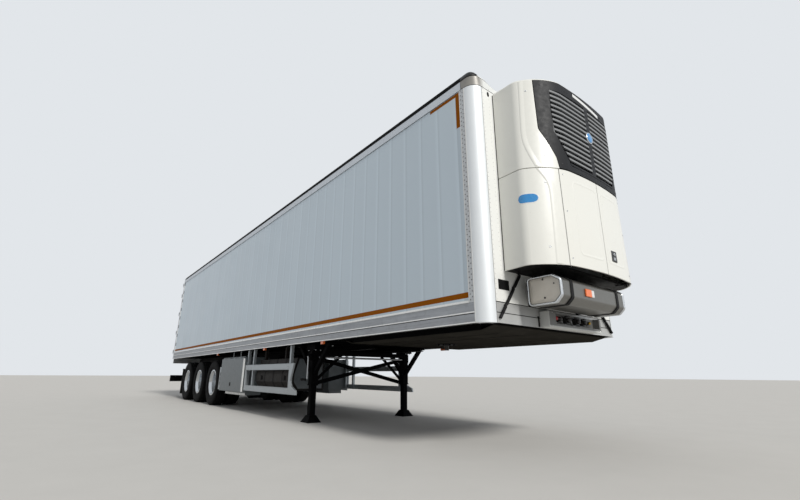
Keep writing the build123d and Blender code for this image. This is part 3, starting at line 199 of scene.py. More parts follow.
def finish_material(name, color, rough, metal=0.0, coat=0.0, vary=0.05, vary_scale=1.3,
                    grain=(1, 1, 1), bump=0.15, bump_scale=60.0, dust=None, edge=0.004,
                    wear=None, rough_vary=0.08, extra=None, lift=0.5, speck=0.5):
    """Procedural surface: colour drift, grain, dust by height, soft edges and worn edges."""
    g = Graph(name)
    darker = (*(c * (1 - vary) for c in color[:3]), 1.0)
    lighter = (*(min(1.0, c * (1 + vary * 0.6)) for c in color[:3]), 1.0)
    colour = g.mix(g.noise(vary_scale, 5.0, 0.6), darker, lighter)
    specks = g.remap(g.noise(bump_scale * 6, 2.0, 0.5), 0.35, 0.65, 0.97, 1.03)
    colour = g.shade(colour, specks, speck)
    height = g.noise(bump_scale, 4.0, 0.5, grain)
    if extra:
        colour, height = extra(g, colour, height)
    if dust:
        amount, low, high, dust_color = dust
        level = g.remap(g.along("Z"), high, low)
        patches = g.remap(g.noise(3.5, 6.0, 0.65), 0.3, 0.7, 0.35, 1.0)
        colour = g.mix(g.times(level, patches, amount), colour, tone(*dust_color))
    bumps = {"Strength": bump, "Distance": 0.0012, "Height": height}
    if edge:
        bumps["Normal"] = g.bevel(edge)
    if wear:
        amount, wear_color = wear
        normals = {0: g.bevel(edge * 1.6), 1: g.new("ShaderNodeNewGeometry", "Normal")}
        bend = g.new("ShaderNodeVectorMath", "Value", normals, operation="DOT_PRODUCT")
        rubbed = g.remap(g.noise(22.0, 5.0, 0.7), 0.42, 0.62)
        mask = g.times(g.remap(bend, 0.985, 0.90), rubbed, amount)
        colour = g.mix(mask, colour, tone(*wear_color))
    streak = g.noise(bump_scale * 0.35, 4.0, 0.6, grain)
    g.wire(g.shader[0], {
        "Base Color": colour, "Metallic": metal, "Specular IOR Level": lift,
        "Roughness": g.remap(streak, 0.25, 0.75, max(0.02, rough - rough_vary),
                             rough + rough_vary),
        "Normal": g.new("ShaderNodeBump", "Normal", bumps)})
    if coat:
        g.wire(g.shader[0], {"Coat Weight": coat, "Coat Roughness": 0.12})
    return g.material


SHEET_PITCH = 0.300
SHEET_START = 0.578
TRIM_WHITE = tone(226, 227, 224)


def side_sheets(g, colour, height):
    """Vertical sheets along the side: a painted highlight on one edge and painted shade on the
    other at each joint.
    """
    along = g.math("DIVIDE", g.math("SUBTRACT", g.along("X"), at(SHEET_START)), SHEET_PITCH)
    part = g.math("FRACT", along)
    odd = g.new("ShaderNodeTexWhiteNoise", "Value", {"W": g.math("FLOOR", along)},
                noise_dimensions="1D")
    # Random tone for each sheet, painted shade just after each joint and a painted highlight just
    # before the next.
    for source, *span in ((odd, 0.0, 1.0, 0.98, 1.015), (part, 0.0, 0.14, 0.90, 1.0),
                          (part, 0.80, 0.97, 1.0, 1.09)):
        colour = g.shade(colour, g.remap(source, *span))
    waves = g.times(g.noise(0.9, 2.0, 0.4, (3.0, 1.0, 0.35)), 2.0)
    total = g.math("ADD", waves, g.times(height, 0.04))
    return colour, g.math("ADD", total, g.remap(part, 0.985, 0.996, 0.0, -0.8))


def black_corner(g, colour, height):
    """Black edging on the sides that runs out round the corner to a white front."""
    limit = g.remap(g.off_middle(), 1.215, 1.095, 3.949, 4.006)
    above = g.remap(g.math("SUBTRACT", g.along("Z"), limit), -0.002, 0.002)
    return g.mix(above, TRIM_WHITE, colour), height


def white_middle(g, colour, height):
    """Bare metal on the sides and corners, white between them on the front."""
    corner = g.remap(g.along("X"), at(0.187), at(0.185))
    colour = g.mix(corner, colour, tone(142, 139, 134))
    return g.mix(g.remap(g.off_middle(), 1.17, 1.09), colour, TRIM_WHITE), height


def painted_shade_below(g, colour, height):
    """Painted shade: near black on faces that look down."""
    normal = g.new("ShaderNodeNewGeometry", "True Normal")
    down = g.remap(g.new("ShaderNodeSeparateXYZ", "Z", {"Vector": normal}), -0.5, -0.8)
    return g.mix(down, colour, tone(26, 25, 25)), height


def rail_streaks(g, colour, height):
    """Lengthwise mill streaks and dull patches of bare aluminium, with painted shade on faces that
    look down.
    """
    streaks = g.remap(g.noise(7.0, 5.0, 0.65, (0.22, 5.0, 5.0)), 0.30, 0.70, 0.80, 1.10)
    patches = g.remap(g.noise(14.0, 4.0, 0.7), 0.54, 0.66, 1.0, 0.86)
    return painted_shade_below(g, g.shade(g.shade(colour, streaks), patches), height)


def painted_tank_shadow(g, colour, height):
    """Painted shadow of the tank: a darker front face on the coupling box behind its lip."""
    mask = g.times(g.remap(g.along("X"), ahead(0.012), ahead(0.020)),
                   g.remap(g.along("Z"), 1.222, 1.232), g.remap(g.along("Y"), -0.424, -0.418))
    return g.mix(mask, colour, tone(112, 112, 110)), height


def painted_blade_highlights(g, colour, height):
    """Painted highlight: lighter grey on the louvre blades than on the frame round them."""
    off = g.off_middle(UNIT_MIDDLE)
    reach = g.remap(g.along("Z"), 2.87, 3.17, 0.455, 0.632)
    mask = g.times(g.remap(g.math("SUBTRACT", reach, off), -0.004, 0.004),
                   g.remap(g.along("Z"), 2.838, 2.846), g.remap(g.along("Z"), 3.686, 3.678),
                   g.remap(off, 0.034, 0.040))
    return g.mix(mask, colour, tone(131, 133, 135)), height


LOOKS = {}


def look(name, rgb, rough, slot="chassis_black", **values):
    """Notes a material; slot, the record's nearest one where it has none of this name, is stored
    but not used.

    Dust is its amount, the heights it runs between and its colour, wear its amount and colour.
    """
    LOOKS[name] = slot, dict(values, color=tone(*rgb), rough=rough)


# Side skin: white tinted blue-grey, partly its own colour and partly painted sky light on the
# shaded side.
look("side_panel", (203, 217, 228), 0.38, coat=0.12, lift=0.3, vary=0.02, speck=0.0,
     vary_scale=0.5, bump=0.07, bump_scale=6.0, extra=side_sheets,
     dust=(0.06, 1.35, 2.1, (170, 166, 158)))
look("door_panel", (222, 224, 222), 0.33, "side_panel", coat=0.35, vary=0.03, bump=0.12,
     dust=(0.2, 1.2, 2.4, (160, 152, 140)))
look("front_panel", (232, 233, 230), 0.36, coat=0.3, vary=0.03, bump=0.10,
     dust=(0.16, 1.3, 2.2, (172, 164, 150)))
look("polished_post", (221, 225, 228), 0.50, metal=0.25, vary_scale=5.0, grain=(14, 14, 0.5),
     bump=0.12, bump_scale=30.0, edge=0.0015, rough_vary=0.06)
# Side rails: painted shade on their faces that look down.
look("rail_aluminium", (167, 170, 175), 0.46, metal=0.6, vary=0.12, vary_scale=5.0,
     grain=(0.6, 12, 12), bump=0.3, bump_scale=40.0, edge=0.002, extra=rail_streaks,
     dust=(0.25, 1.15, 1.5, (112, 109, 104)))
look("flange_grey", (200, 203, 206), 0.5, "rail_aluminium", metal=0.2, vary=0.25,
     vary_scale=18.0, bump=0.4, edge=0.001)
look("black_edging", (30, 31, 33), 0.38, vary=0.10, bump=0.2, edge=0.003)
look("roof_edging", (12, 12, 13), 0.62, "black_edging", vary=0.10, bump=0.2, edge=0.003,
     extra=black_corner, lift=0.06)
look("top_rail", (206, 212, 219), 0.44, "rail_aluminium", metal=0.3, vary=0.10, vary_scale=4.0,
     grain=(0.6, 12, 12), bump_scale=40.0, edge=0.002, extra=white_middle)
# Front rail: painted shade on its faces that look down.
look("front_rail", (184, 185, 184), 0.44, "rail_aluminium", metal=0.35, vary=0.12,
     vary_scale=7.0, bump=0.3, bump_scale=26.0, edge=0.002, extra=painted_shade_below)
look("roof_panel", (206, 208, 208), 0.45, vary=0.08, bump=0.25, bump_scale=20.0,
     dust=(0.4, 4.2, 3.9, (150, 143, 132)))
look("floor_aluminium", (182, 184, 186), 0.45, metal=0.85, vary=0.12, grain=(0.5, 20, 20),
     bump=0.4, edge=0.002)
look("rear_steel", (196, 198, 200), 0.36, metal=0.9, vary=0.10, grain=(10, 10, 0.7), bump=0.3,
     edge=0.0025)
look("chassis_black", (10, 10, 11), 0.56, vary=0.18, bump=0.25, bump_scale=90.0, edge=0.003,
     lift=0.02, dust=(0.03, 0.1, 1.0, (50, 47, 43)), wear=(0.15, (46, 44, 42)))
look("coupler_grease", (56, 54, 50), 0.70, vary=0.60, vary_scale=2.6, bump=0.3, bump_scale=40.0,
     edge=0.002, lift=0.0)
# Near black for the sheet of painted shade under the front.
look("under_shade_black", (22, 21, 21), 0.80, vary=0.40, vary_scale=6.0, bump=0.4, bump_scale=30.0,
     edge=0.0, lift=0.0)
look("kingpin_steel", (70, 69, 68), 0.36, metal=0.8, vary=0.15, grain=(1, 1, 20), bump=0.2,
     edge=0.0015)
look("tyre", (13, 13, 14), 0.76, vary=0.15, bump=0.45, bump_scale=120.0, edge=0.0, lift=0.09,
     dust=(0.08, 0.0, 0.6, (58, 54, 50)))
look("polished_alloy", (196, 199, 202), 0.16, metal=1.0, bump=0.12, bump_scale=50.0, edge=0.003,
     rough_vary=0.06)
look("black_rubber", (22, 22, 23), 0.66, vary=0.15, bump=0.4, bump_scale=140.0, edge=0.002,
     lift=0.2, dust=(0.12, 0.0, 1.2, (70, 66, 60)))
look("zinc", (186, 188, 190), 0.38, metal=0.95, vary=0.18, vary_scale=8.0, bump=0.35,
     bump_scale=120.0, edge=0.0015)
look("grey_box", (101, 108, 112), 0.44, vary=0.06, bump=0.22, edge=0.003,
     dust=(0.16, 0.2, 1.1, (112, 106, 98)), wear=(0.35, (170, 172, 174)))
look("grey_guard", (167, 173, 177), 0.42, metal=0.55, vary=0.08, grain=(0.6, 14, 14), bump=0.3,
     edge=0.003, dust=(0.2, 0.2, 1.1, (112, 106, 98)))
# Very dark brown: partly dirt, partly painted shade on the box.
look("brown_box", (38, 35, 33), 0.6, lift=0.15, vary=0.20, bump=0.35, edge=0.003,
     dust=(0.08, 0.3, 1.1, (76, 72, 66)))
look("red_lens", (168, 22, 20), 0.20, coat=0.6, vary=0.06, bump=0.3, bump_scale=260.0,
     edge=0.002)
look("amber_lens", (232, 112, 38), 0.22, coat=0.6, vary=0.06, bump=0.3, bump_scale=260.0,
     edge=0.002)
look("unit_white", (226, 226, 220), 0.34, coat=0.22, vary=0.02, vary_scale=0.8, bump=0.10,
     bump_scale=70.0, edge=0.006, dust=(0.10, 1.6, 2.3, (190, 182, 166)))
# Cowl: painted highlight on the louvre blades.
look("cowl_black", (31, 32, 35), 0.50, vary=0.10, bump=0.10, lift=0.17, extra=painted_blade_highlights)
look("unit_dark", (14, 14, 15), 0.60, lift=0.15, vary=0.2, bump=0.3, edge=0.002)
look("engine_iron", (84, 86, 88), 0.50, metal=0.3, vary=0.2, bump=0.5, bump_scale=35.0,
     edge=0.006)
look("tank_end", (196, 190, 180), 0.42, "tank_aluminium", metal=0.3, vary=0.10, vary_scale=9.0,
     bump=0.3, bump_scale=30.0, edge=0.002)
look("tank_aluminium", (127, 126, 122), 0.36, metal=0.85, vary=0.08, grain=(12, 0.6, 12),
     bump=0.22, edge=0.002, dust=(0.12, 1.3, 1.7, (120, 112, 100)))
# Coupling box: painted shadow of the tank on its front face.
look("coupling_box", (200, 201, 198), 0.42, "grey_box", metal=0.2, vary=0.08, bump=0.2,
     edge=0.002, extra=painted_tank_shadow)
look("badge_blue", (40, 132, 196), 0.25, "cowl_black", coat=0.6, bump=0.1, edge=0.001)
look("coupling_dark", (34, 32, 31), 0.45, vary=0.2, bump=0.3, edge=0.002)
look("tape_orange", (146, 82, 8), 0.60, "amber_lens", lift=0.05, vary=0.06, bump=0.3,
     bump_scale=240.0, edge=0.0)
look("tape_white", (226, 228, 228), 0.38, "plate_white", bump=0.3, bump_scale=240.0, edge=0.0)
look("bright_trim", (214, 217, 220), 0.28, "polished_post", metal=0.9, vary=0.06, bump=0.2,
     edge=0.001)
look("seam_dark", (26, 26, 27), 0.7, "black_rubber", lift=0.1, vary=0.1, bump=0.1, edge=0.0)
look("red_cap", (176, 30, 36), 0.35, "red_lens", vary=0.08, bump=0.2, edge=0.001)
look("yellow_cap", (196, 156, 40), 0.38, "amber_lens", vary=0.08, bump=0.2, edge=0.001)
look("plate_white", (224, 225, 224), 0.30, "unit_white", coat=0.3, vary=0.03, bump=0.1,
     edge=0.001)
look("clear_lens", (214, 216, 216), 0.16, "unit_white", coat=0.8, vary=0.04, bump=0.3,
     bump_scale=260.0, edge=0.001)


@cache
def material(name):
    return finish_material(name, **LOOKS[name][1])


def dress(node, name):
    materials = nodes[node].data.materials
    for index in range(len(materials)):
        materials[index] = material(name)
    if not materials:
        materials.append(material(name))


for entry in frame["record"]["subparts"]:
    dress(entry["node"], entry["material_slot"])
for dressed, name in (("rear_door_right", "door_panel"), ("rear_door_left", "door_panel"),
                      ("tank_straps", "black_rubber"), ("front_rail", "front_rail"),
                      ("coupling_box", "coupling_box"), ("coupler_plate", "coupler_grease")):
    dress(dressed, name)


# Mesh tools


def axes_for(normal):
    """The direction itself and two directions square to it."""
    normal = Vector(normal).normalized()
    helper = Vector(UP) if abs(normal.z) < 0.9 else Vector(AHEAD)
    u = helper.cross(normal).normalized()
    return normal, u, normal.cross(u)


class Shape:
    """Mesh under construction: points, faces and which faces are smooth."""

    def __init__(self):
        self.points, self.faces, self.smooth = [], [], []

    def add(self, points, faces, smooth=False):
        base = len(self.points)
        self.points += [tuple(p) for p in points]
        self.faces += [tuple(base + i for i in face) for face in faces]
        self.smooth += [smooth] * len(faces)
        return self

    def piece(self, name, look_name, body="trailer"):
        """Makes the shape a piece of the scene that rides on a body."""
        mesh = bpy.data.meshes.new(name)
        mesh.from_pydata(self.points, [], self.faces)
        mesh.polygons.foreach_set("use_smooth", self.smooth)
        mesh.update()
        obj = bpy.data.objects.new(name, mesh)
        scene.collection.objects.link(obj)
        mesh.materials.append(material(look_name))
        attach(obj, body)
        return obj

    def moved_to(self, side):
        """Puts a shape built on the right on the given side."""
        if side > 0:
            self.points = [(x, -y, z) for x, y, z in self.points]
            self.faces = [face[::-1] for face in self.faces]
        return self

    def mirror_y(self, about=0.0):
        """Adds the same shape on the other side of the plane y = about."""
        count = len(self.points)
        self.points += [(x, 2 * about - y, z) for x, y, z in self.points]
        self.faces += [tuple(count + i for i in reversed(face)) for face in self.faces]
        self.smooth *= 2
        return self

    def grid(self, rows, closed=False, smooth=True):
        """Skin over rows of points; closed joins each row's ends."""
        n = len(rows[0])
        faces = [(i * n + k, i * n + (k + 1) % n, (i + 1) * n + (k + 1) % n, (i + 1) * n + k)
                 for i in range(len(rows) - 1) for k in range(n if closed else n - 1)]
        return self.add([p for row in rows for p in row], faces, smooth)

    def block(self, x0, x1, y0, y1, z0, z1, cut=0.0015):
        """Box with its edges and corners cut by a small chamfer."""
        spans = [sorted(pair) for pair in ((x0, x1), (y0, y1), (z0, z1))]
        cut = min(cut, *(0.4 * (high - low) for low, high in spans))
        points, index, faces = [], {}, []
        corners = list(product((0, 1), repeat=3))
        for signs in corners:
            for axis in range(3):
                index[(*signs, axis)] = len(points)
                points.append([spans[k][signs[k]] + (k != axis) * (-cut if signs[k] else cut)
                               for k in range(3)])

        def face(keys, flip):
            faces.append(tuple(index[key] for key in keys)[::-1 if flip else 1])

        for axis in range(3):
            u, v = (axis + 1) % 3, (axis + 2) % 3

            def key(s, a, b, kind):
                signs = {axis: s, u: a, v: b}
                return (signs[0], signs[1], signs[2], kind)

            for s in (0, 1):
                face([key(s, a, b, axis) for a, b in ((0, 0), (1, 0), (1, 1), (0, 1))], s == 0)
            for a, b in product((0, 1), repeat=2):
                face([key(0, a, b, u), key(1, a, b, u), key(1, a, b, v), key(0, a, b, v)], a != b)
        for signs in corners:
            face([(*signs, axis) for axis in range(3)], sum(signs) % 2 == 0)
        return self.add(points, faces)

    def boxes(self, rows, cut=0.0015, base=0.0):
        """Blocks given behind the front wall and across from a base line, two places each."""
        for b0, b1, y0, y1, z0, z1 in rows:
            self.block(at(b0), at(b1), base + y0, base + y1, z0, z1, cut)
        return self

    def lathe(self, profile, centre, normal, sides=24, smooth=True):
        """Turns (distance, radius) points about an axis through centre."""
        normal, u, v = axes_for(normal)
        points, faces, rows = [], [], []
        for distance, radius in profile:
            middle = Vector(centre) + normal * distance
            turned = [middle + (u * c + v * s) * radius for c, s in ring(sides)]
            turned = turned if radius > 1e-6 else [middle]
            rows.append(range(len(points), len(points) + len(turned)))
            points += turned
        for a, b in zip(rows, rows[1:]):
            for k in range(sides):
                m = (k + 1) % sides
                corners = (a[k % len(a)], a[m % len(a)], b[m % len(b)], b[k % len(b)])
                faces.append(tuple(dict.fromkeys(corners)))
        return self.add(points, faces, smooth)

    def domes(self, places, normal, radius, height, sides=6):
        """Rivet heads."""
        for place in places:
            self.lathe([(0, radius), (height * 0.7, radius * 0.78), (height, 0)], place, normal,
                       sides)
        return self

    def bolts(self, places, normal, radius, height):
        """Bolt heads on washers."""
        washer = radius * 1.35
        for place in places:
            self.lathe([(0, washer), (height * 0.22, washer), (height * 0.22, 0)], place, normal,
                       14, False)
            self.lathe([(height * 0.2, radius), (height * 0.85, radius),
                        (height, radius * 0.86), (height, 0)], place, normal, 6, False)
        return self

    def screw(self, place, radius=0.009):
        """Screw head with a recess, at a (point, normal) pair on a skin."""
        if place[0] is not None:
            self.lathe([(-0.001, radius), (0.0018, radius), (0.003, radius * 0.8),
                        (0.0022, radius * 0.45), (0.0005, radius * 0.4), (0.0005, 0)], *place, 12)
        return self

    def tube(self, points, radius, sides=10):
        """Round bar along a line of points; the radius is one number or one a point."""
        points = [Vector(p) for p in points]
        radii = radius if isinstance(radius, list) else [radius] * len(points)
        last = len(points) - 1
        rows, u = [], None
        for i, p in enumerate(points):
            if 0 < i < last:
                along = (points[i + 1] - p).normalized() + (p - points[i - 1]).normalized()
            else:
                along = points[min(i + 1, last)] - points[max(i - 1, 0)]
            along.normalize()
            if u is None:
                u, v = axes_for(along)[1:]
            else:
                u = (u - along * u.dot(along)).normalized()
                v = along.cross(u)
            rows.append([p + (u * c + v * s) * radii[i] for c, s in ring(sides)])
        base = len(self.points)
        self.grid(rows, True)
        end = base + last * sides
        self.faces += [tuple(range(base, base + sides))[::-1], tuple(range(end, end + sides))]
        self.smooth += [False, False]
        return self

    def prism(self, outline, axis, low, high):
        """Flat outline pushed along x or y; the outline gives the other two in order."""
        n = len(outline)
        area = sum(a[0] * b[1] - b[0] * a[1] for a, b in zip(outline, outline[1:] + outline[:1]))
        points = [(c, a, b) if axis == "x" else (a, c, b) for c in (low, high) for a, b in outline]
        faces = [tuple(range(n))[::-1], tuple(range(n, 2 * n))]
        faces += [(i, (i + 1) % n, n + (i + 1) % n, n + i) for i in range(n)]
        if (area < 0) != (axis == "y"):
            faces = [face[::-1] for face in faces]
        return self.add(points, faces)

    def ribbon(self, rows, heights, outward, smooth=True):
        """Raised strip over rows of (point, normal) pairs, its faces turned outward."""
        self.grid([[p + n * h for (p, n), h in zip(row, heights)] for row in rows], False, smooth)
        a, b, c = (Vector(self.points[i]) for i in self.faces[0][:3])
        if (b - a).cross(c - a).dot(Vector(outward)) < 0:
            self.faces = [face[::-1] for face in self.faces]
        return self


def curve(points, count=6):
    """Smooth line through a few points."""
    points = [Vector(p) for p in points]
    padded = [points[0] * 2 - points[1], *points, points[-1] * 2 - points[-2]]
    result = []
    for a, b, c, d in zip(padded, padded[1:], padded[2:], padded[3:]):
        for t in (k / count for k in range(count)):
            result.append(0.5 * ((2 * b) + (c - a) * t + (2 * a - 5 * b + 4 * c - d) * t * t
                                 + (3 * b - a - 3 * c + d) * t ** 3))
    return result + [points[-1]]


# Body sides

TRIM_REAR = 13.50
POST_REAR, POST_FRONT = 0.222, 0.152
BAND_LOW = 3.84
PANEL_TAPE = (0.0058, 0.0075)


def body_details():
    rivets = Shape()
    for first, last, pitch, inward, z, radius, height in (
            (0.28, TRIM_REAR, 0.11, 0.004, 1.392, 0.0055, 0.0022),
            (0.28, TRIM_REAR, 0.11, 0, 1.284, 0.0055, 0.0022),
            (0.22, 13.48, 0.165, 0, 1.224, 0.0065, 0.0024),
            (0.30, 13.48, 0.22, 0, 3.858, 0.005, 0.0022),
            (0.30, 13.48, 0.22, 0, 3.932, 0.005, 0.0022)):
        rivets.domes([(at(back), inward - HALF, z) for back in steps(first, last, pitch)],
                     RIGHT, radius, height)
    rivets.mirror_y().piece("side_rivets", "rail_aluminium")
    # The trim is dressed white: a painted highlight along the lip that faces the sun.
    strips = Shape().prism(
        [(-HALF + 0.0076, 1.4030), (-HALF - 0.0060, 1.4035), (-HALF - 0.0060, 1.4100),
         (-HALF + 0.0040, 1.4240), (-HALF + 0.0076, 1.4320)], "x", at(TRIM_REAR), at(0.218))
    strips.domes([(at(back), -HALF - 0.0010, 1.4165) for back in steps(0.26, 13.46, 0.055)],
                 (0, -0.8, 0.6), 0.0055, 0.0024)
    strips.mirror_y().piece("side_lower_trim", "plate_white")
    # The ledges are dressed white: a painted highlight along their upper slopes.
    ledges = Shape()
    for low, reach in ((1.3010, 0.0080), (1.2040, 0.0070)):
        ledges.prism([(-HALF + 0.001, low), (-HALF - reach, low + 0.0004),
                      (-HALF - reach, low + 0.0030), (-HALF + 0.001, low + 0.0150)], "x",
                     at(TRIM_REAR), at(POST_FRONT))
    ledges.mirror_y().piece("side_rail_ledges", "plate_white")
    for name, look_name, cut, rows in (
            # Dark strip under the middle ledge: painted shade beneath its lip.
            ("side_rail_shade_lines", "seam_dark", 0.0003,
             [(TRIM_REAR, POST_FRONT, -0.0009, 0.002, 1.2940, 1.3008)]),
            ("side_tape", "tape_orange", 0.0003,
             [(POST_REAR, TRIM_REAR, *PANEL_TAPE, 1.456, 1.511),
              (0.277, 0.70, *PANEL_TAPE, 3.795, 3.835),
              (POST_REAR, 0.277, *PANEL_TAPE, 3.38, 3.835)]),
            ("post_beads", "plate_white", 0.001,
             [(0.2165, 0.2065, -0.0016, 0.004, 1.412, BAND_LOW),
              (0.1500, 0.1400, -0.0022, 0.004, 1.206, BAND_LOW)]),
            ("post_flange_cover", "flange_grey", 0.0005,
             [(0.2060, 0.1505, -0.0008, 0.003, 1.412, BAND_LOW)])):
        Shape().boxes(rows, cut, -HALF).mirror_y().piece(name, look_name)
    # Dark rivet heads on the post flange: painted shade round each rivet.
    places = [(at(back), -HALF - 0.0012, z + rise) for z in steps(1.43, 3.82, 0.055)
              for back, rise in ((0.193, 0), (0.165, 0.027))]
    Shape().domes(places, RIGHT, 0.0065, 0.0022).mirror_y().piece("post_rivets_painted_shade",
                                                                   "coupling_dark")


ROOF = 4.0
TOP_ROUND = 0.14
CORNER_ROUND, CORNER_SLOPE = 0.14, 0.055
BEAD_INSET, BEAD_RADIUS = 0.031, 0.026
RUN_END, MIDDLE_START = -1.135, 0.285
TURNS = [("turn", 90 * k / 12) for k in range(13)]
FRONTS = [("front", RUN_END + MIDDLE_START * k / 8) for k in range(1, 9)]


def top_round(kind, value):
    """Radius of the top edge: small on the side and corner, full near the middle."""
    if kind == "run":
        return 0.006
    if kind == "turn":
        return 0.012 + 0.048 * (value / 90) ** 2
    t = min(1.0, (value - RUN_END) / MIDDLE_START)
    return 0.060 + (TOP_ROUND - 0.060) * t * t * (3 - 2 * t)


def top_point(station, z, out=0.0):
    """Place on the outer face of the band at a station and a height."""
    kind, value = station
    rounded = top_round(kind, value)
    bend = min(rounded, max(0.0, z - ROOF + rounded))
    lean = rounded - math.sqrt(max(0.0, rounded ** 2 - bend ** 2)) - out
    if kind == "run":
        return (value, -HALF + lean, z)
    if kind == "front":
        return (X_FRONT - lean, value, z)
    radius = CORNER_ROUND - CORNER_SLOPE * (z - BAND_LOW) / (ROOF - BAND_LOW)
    a = math.radians(value)
    x = X_FRONT - radius + (radius - lean) * math.sin(a)
    return (x, -HALF + radius - (radius - lean) * math.cos(a), z)


def inner_point(station, z, inset):
    """Place on the inner face of the band, its corner nearly square."""
    kind, value = station
    small = 0.03
    bend = max(0.0, z - ROOF + TOP_ROUND)
    lean = TOP_ROUND - math.sqrt(max(0.0, TOP_ROUND ** 2 - bend ** 2))
    front = X_FRONT - max(inset, lean + small)
    if kind == "run":
        return (min(value, front - small), -HALF + inset, z)
    if kind == "front":
        return (front, value, z)
    a = math.radians(value)
    return (front - small + small * math.sin(a), -HALF + inset + small - small * math.cos(a), z)


def top_path(z, inset=None, back=13.529, out=0.0):
    """Open loop round the right side, the front and the left side."""
    stations = [("run", at(back)), ("run", at(0.20))] + TURNS + FRONTS + [("front", -0.3)]
    if inset is None:
        half = [top_point(station, z, out) for station in stations]
    else:
        half = [inner_point(station, z, inset) for station in stations]
    return half + [(x, -y, z) for x, y, z in reversed(half)]


def swept_ring(heights, inset):
    """Band with a smooth outer face and a flat top, back and underside, open at the rear."""
    outer = [top_path(z) for z in heights]
    inner = [top_path(z, inset) for z in (heights[-1], heights[0])]
    shape = Shape().grid(outer).grid([outer[-1], *inner, outer[0]], smooth=False)
    for end, order in ((0, 1), (-1, -1)):
        face = [path[end] for path in outer + inner][::order]
        shape.add(face, [tuple(range(len(face)))])
    return shape


def corner_cap():
    """Raised black cap over the right front corner of the roof."""
    places = [("run", at(back)) for back in (0.186, 0.170)] + TURNS + FRONTS[:3]
    last, fade_out, shade_start = len(places) - 1, 6.0, 8
    rows = [[], [], [], [], []]
    for number, station in enumerate(places):
        fade = min(1.0, number, (last - number) / fade_out)
        low = 3.953 + 0.043 * max(0.0, number - shade_start) / (last - shade_start)
        top = top_point(station, ROOF - 0.0001, -0.004)
        inner = inner_point(station, ROOF - 0.0001, 0.085)
        for row, point in zip(rows, (
                top_point(station, low, 0.0008), top_point(station, low + 0.003, 0.0035),
                top_point(station, 3.993, 0.0035), (*top[:2], ROOF + 0.0002 + 0.014 * fade),
                (*inner[:2], ROOF + 0.0002 + 0.013 * fade))):
            row.append(point)
    return Shape().grid(rows)


def top_bands():
    for node, heights, inset in (
            ("top_rail", (3.8402, 3.862, 3.885, 3.908, 3.93, 3.9498), 0.060),
            ("roof_edging", (3.9502, 3.962, 3.974, 3.984, 3.992, 3.9975, ROOF), 0.090)):
        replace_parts(swept_ring(heights, inset).piece(f"{node}_skin", node), node)
    # Dark seams round the band; the lowest one also paints the shadow line under the band's edge.
    seams = Shape()
    for low, high in ((3.8365, 3.8425), (3.9475, 3.9515)):
        seams.grid([top_path(z, None, TRIM_REAR, 0.0009) for z in (low, high)])
    for side, _ in SIDES:
        seams.block(at(0.188), at(0.184), side * (HALF - 0.002), side * (HALF + 0.001), 3.842,
                    3.948, 0.0003)
    seams.piece("top_band_seams", "seam_dark")
    line = [(at(back), BEAD_INSET - HALF, ROOF) for back in (TRIM_REAR, 9.0, 4.5, 0.60, 0.30, 0.10)]
    radii = [BEAD_RADIUS] * len(line)
    corner = CORNER_ROUND - CORNER_SLOPE
    for _, degrees in TURNS[1:]:
        part, a = degrees / 90, math.radians(degrees)
        turn = corner - BEAD_INSET - 0.034 * part
        line.append((X_FRONT - corner + turn * math.sin(a), corner - HALF - turn * math.cos(a),
                     ROOF - 0.004 * part))
        radii.append(BEAD_RADIUS * (1 - 0.5 * part))
    Shape().tube(line, radii, 14).mirror_y().piece("roof_edge_bead", "roof_edging")
    for side, name in SIDES:
        corner_cap().moved_to(side).piece(f"corner_cap_{name}", "black_edging")


def front_details():
    rivets = Shape()
    for y, radius, height in ((-1.118, 0.005, 0.0022), (-1.020, 0.004, 0.0018)):
        rivets.domes([(X_FRONT, y, z) for z in steps(1.43, 3.82, 0.050)], AHEAD, radius, height)
    for back, z, radius, height in ((0, 1.236, 0.0055, 0.0024), (0, 3.858, 0.005, 0.0022),
                                    (0.004, 1.392, 0.0055, 0.0024)):
        rivets.domes([(at(back), y, z) for y in steps(-1.11, -0.01, 0.10)], AHEAD, radius, height)
    rivets.mirror_y().piece("front_rivets", "front_rail")
    seams = Shape().boxes([(0.004, -0.0012, -1.1345, 1.1345, 1.3000, 1.3070)], 0.0004)
    seams.boxes([(0.001, -0.0008, -1.1385, -1.1345, 1.207, 3.838),
                 (0.001, -0.0008, 1.1345, 1.1385, 1.207, 3.838),
                 (0.001, -0.0008, -1.1345, 1.1345, 1.405, 1.411)], 0.0003)
    seams.piece("front_seams", "seam_dark")
    plate = Shape().boxes([(0, -0.004, -1.083, -0.917, 1.532, 1.632)], 0.002)
    plate.domes([(ahead(0.004), y, z) for y in (-1.072, -0.928) for z in (1.545, 1.62)], AHEAD,
                0.004, 0.002)
    plate.piece("front_small_plate", "unit_dark")
    # Near black sheet under the front rail: painted shade under the trailer's front.
    under = Shape().boxes([(0.250, 0.012, -1.110, 1.110, 1.2030, 1.2048)], 0.0005)
    under.piece("front_under_shade_sheet", "under_shade_black")
    holes = Shape()
    for side, _ in SIDES:
        holes.prism([(side * 1.028 + 0.018 * c, 3.785 + 0.032 * s) for c, s in ring(20)], "x",
                    at(0.001), ahead(0.0018))
    holes.piece("front_oval_holes", "seam_dark")


body_details()
front_details()
top_bands()


# Wheels

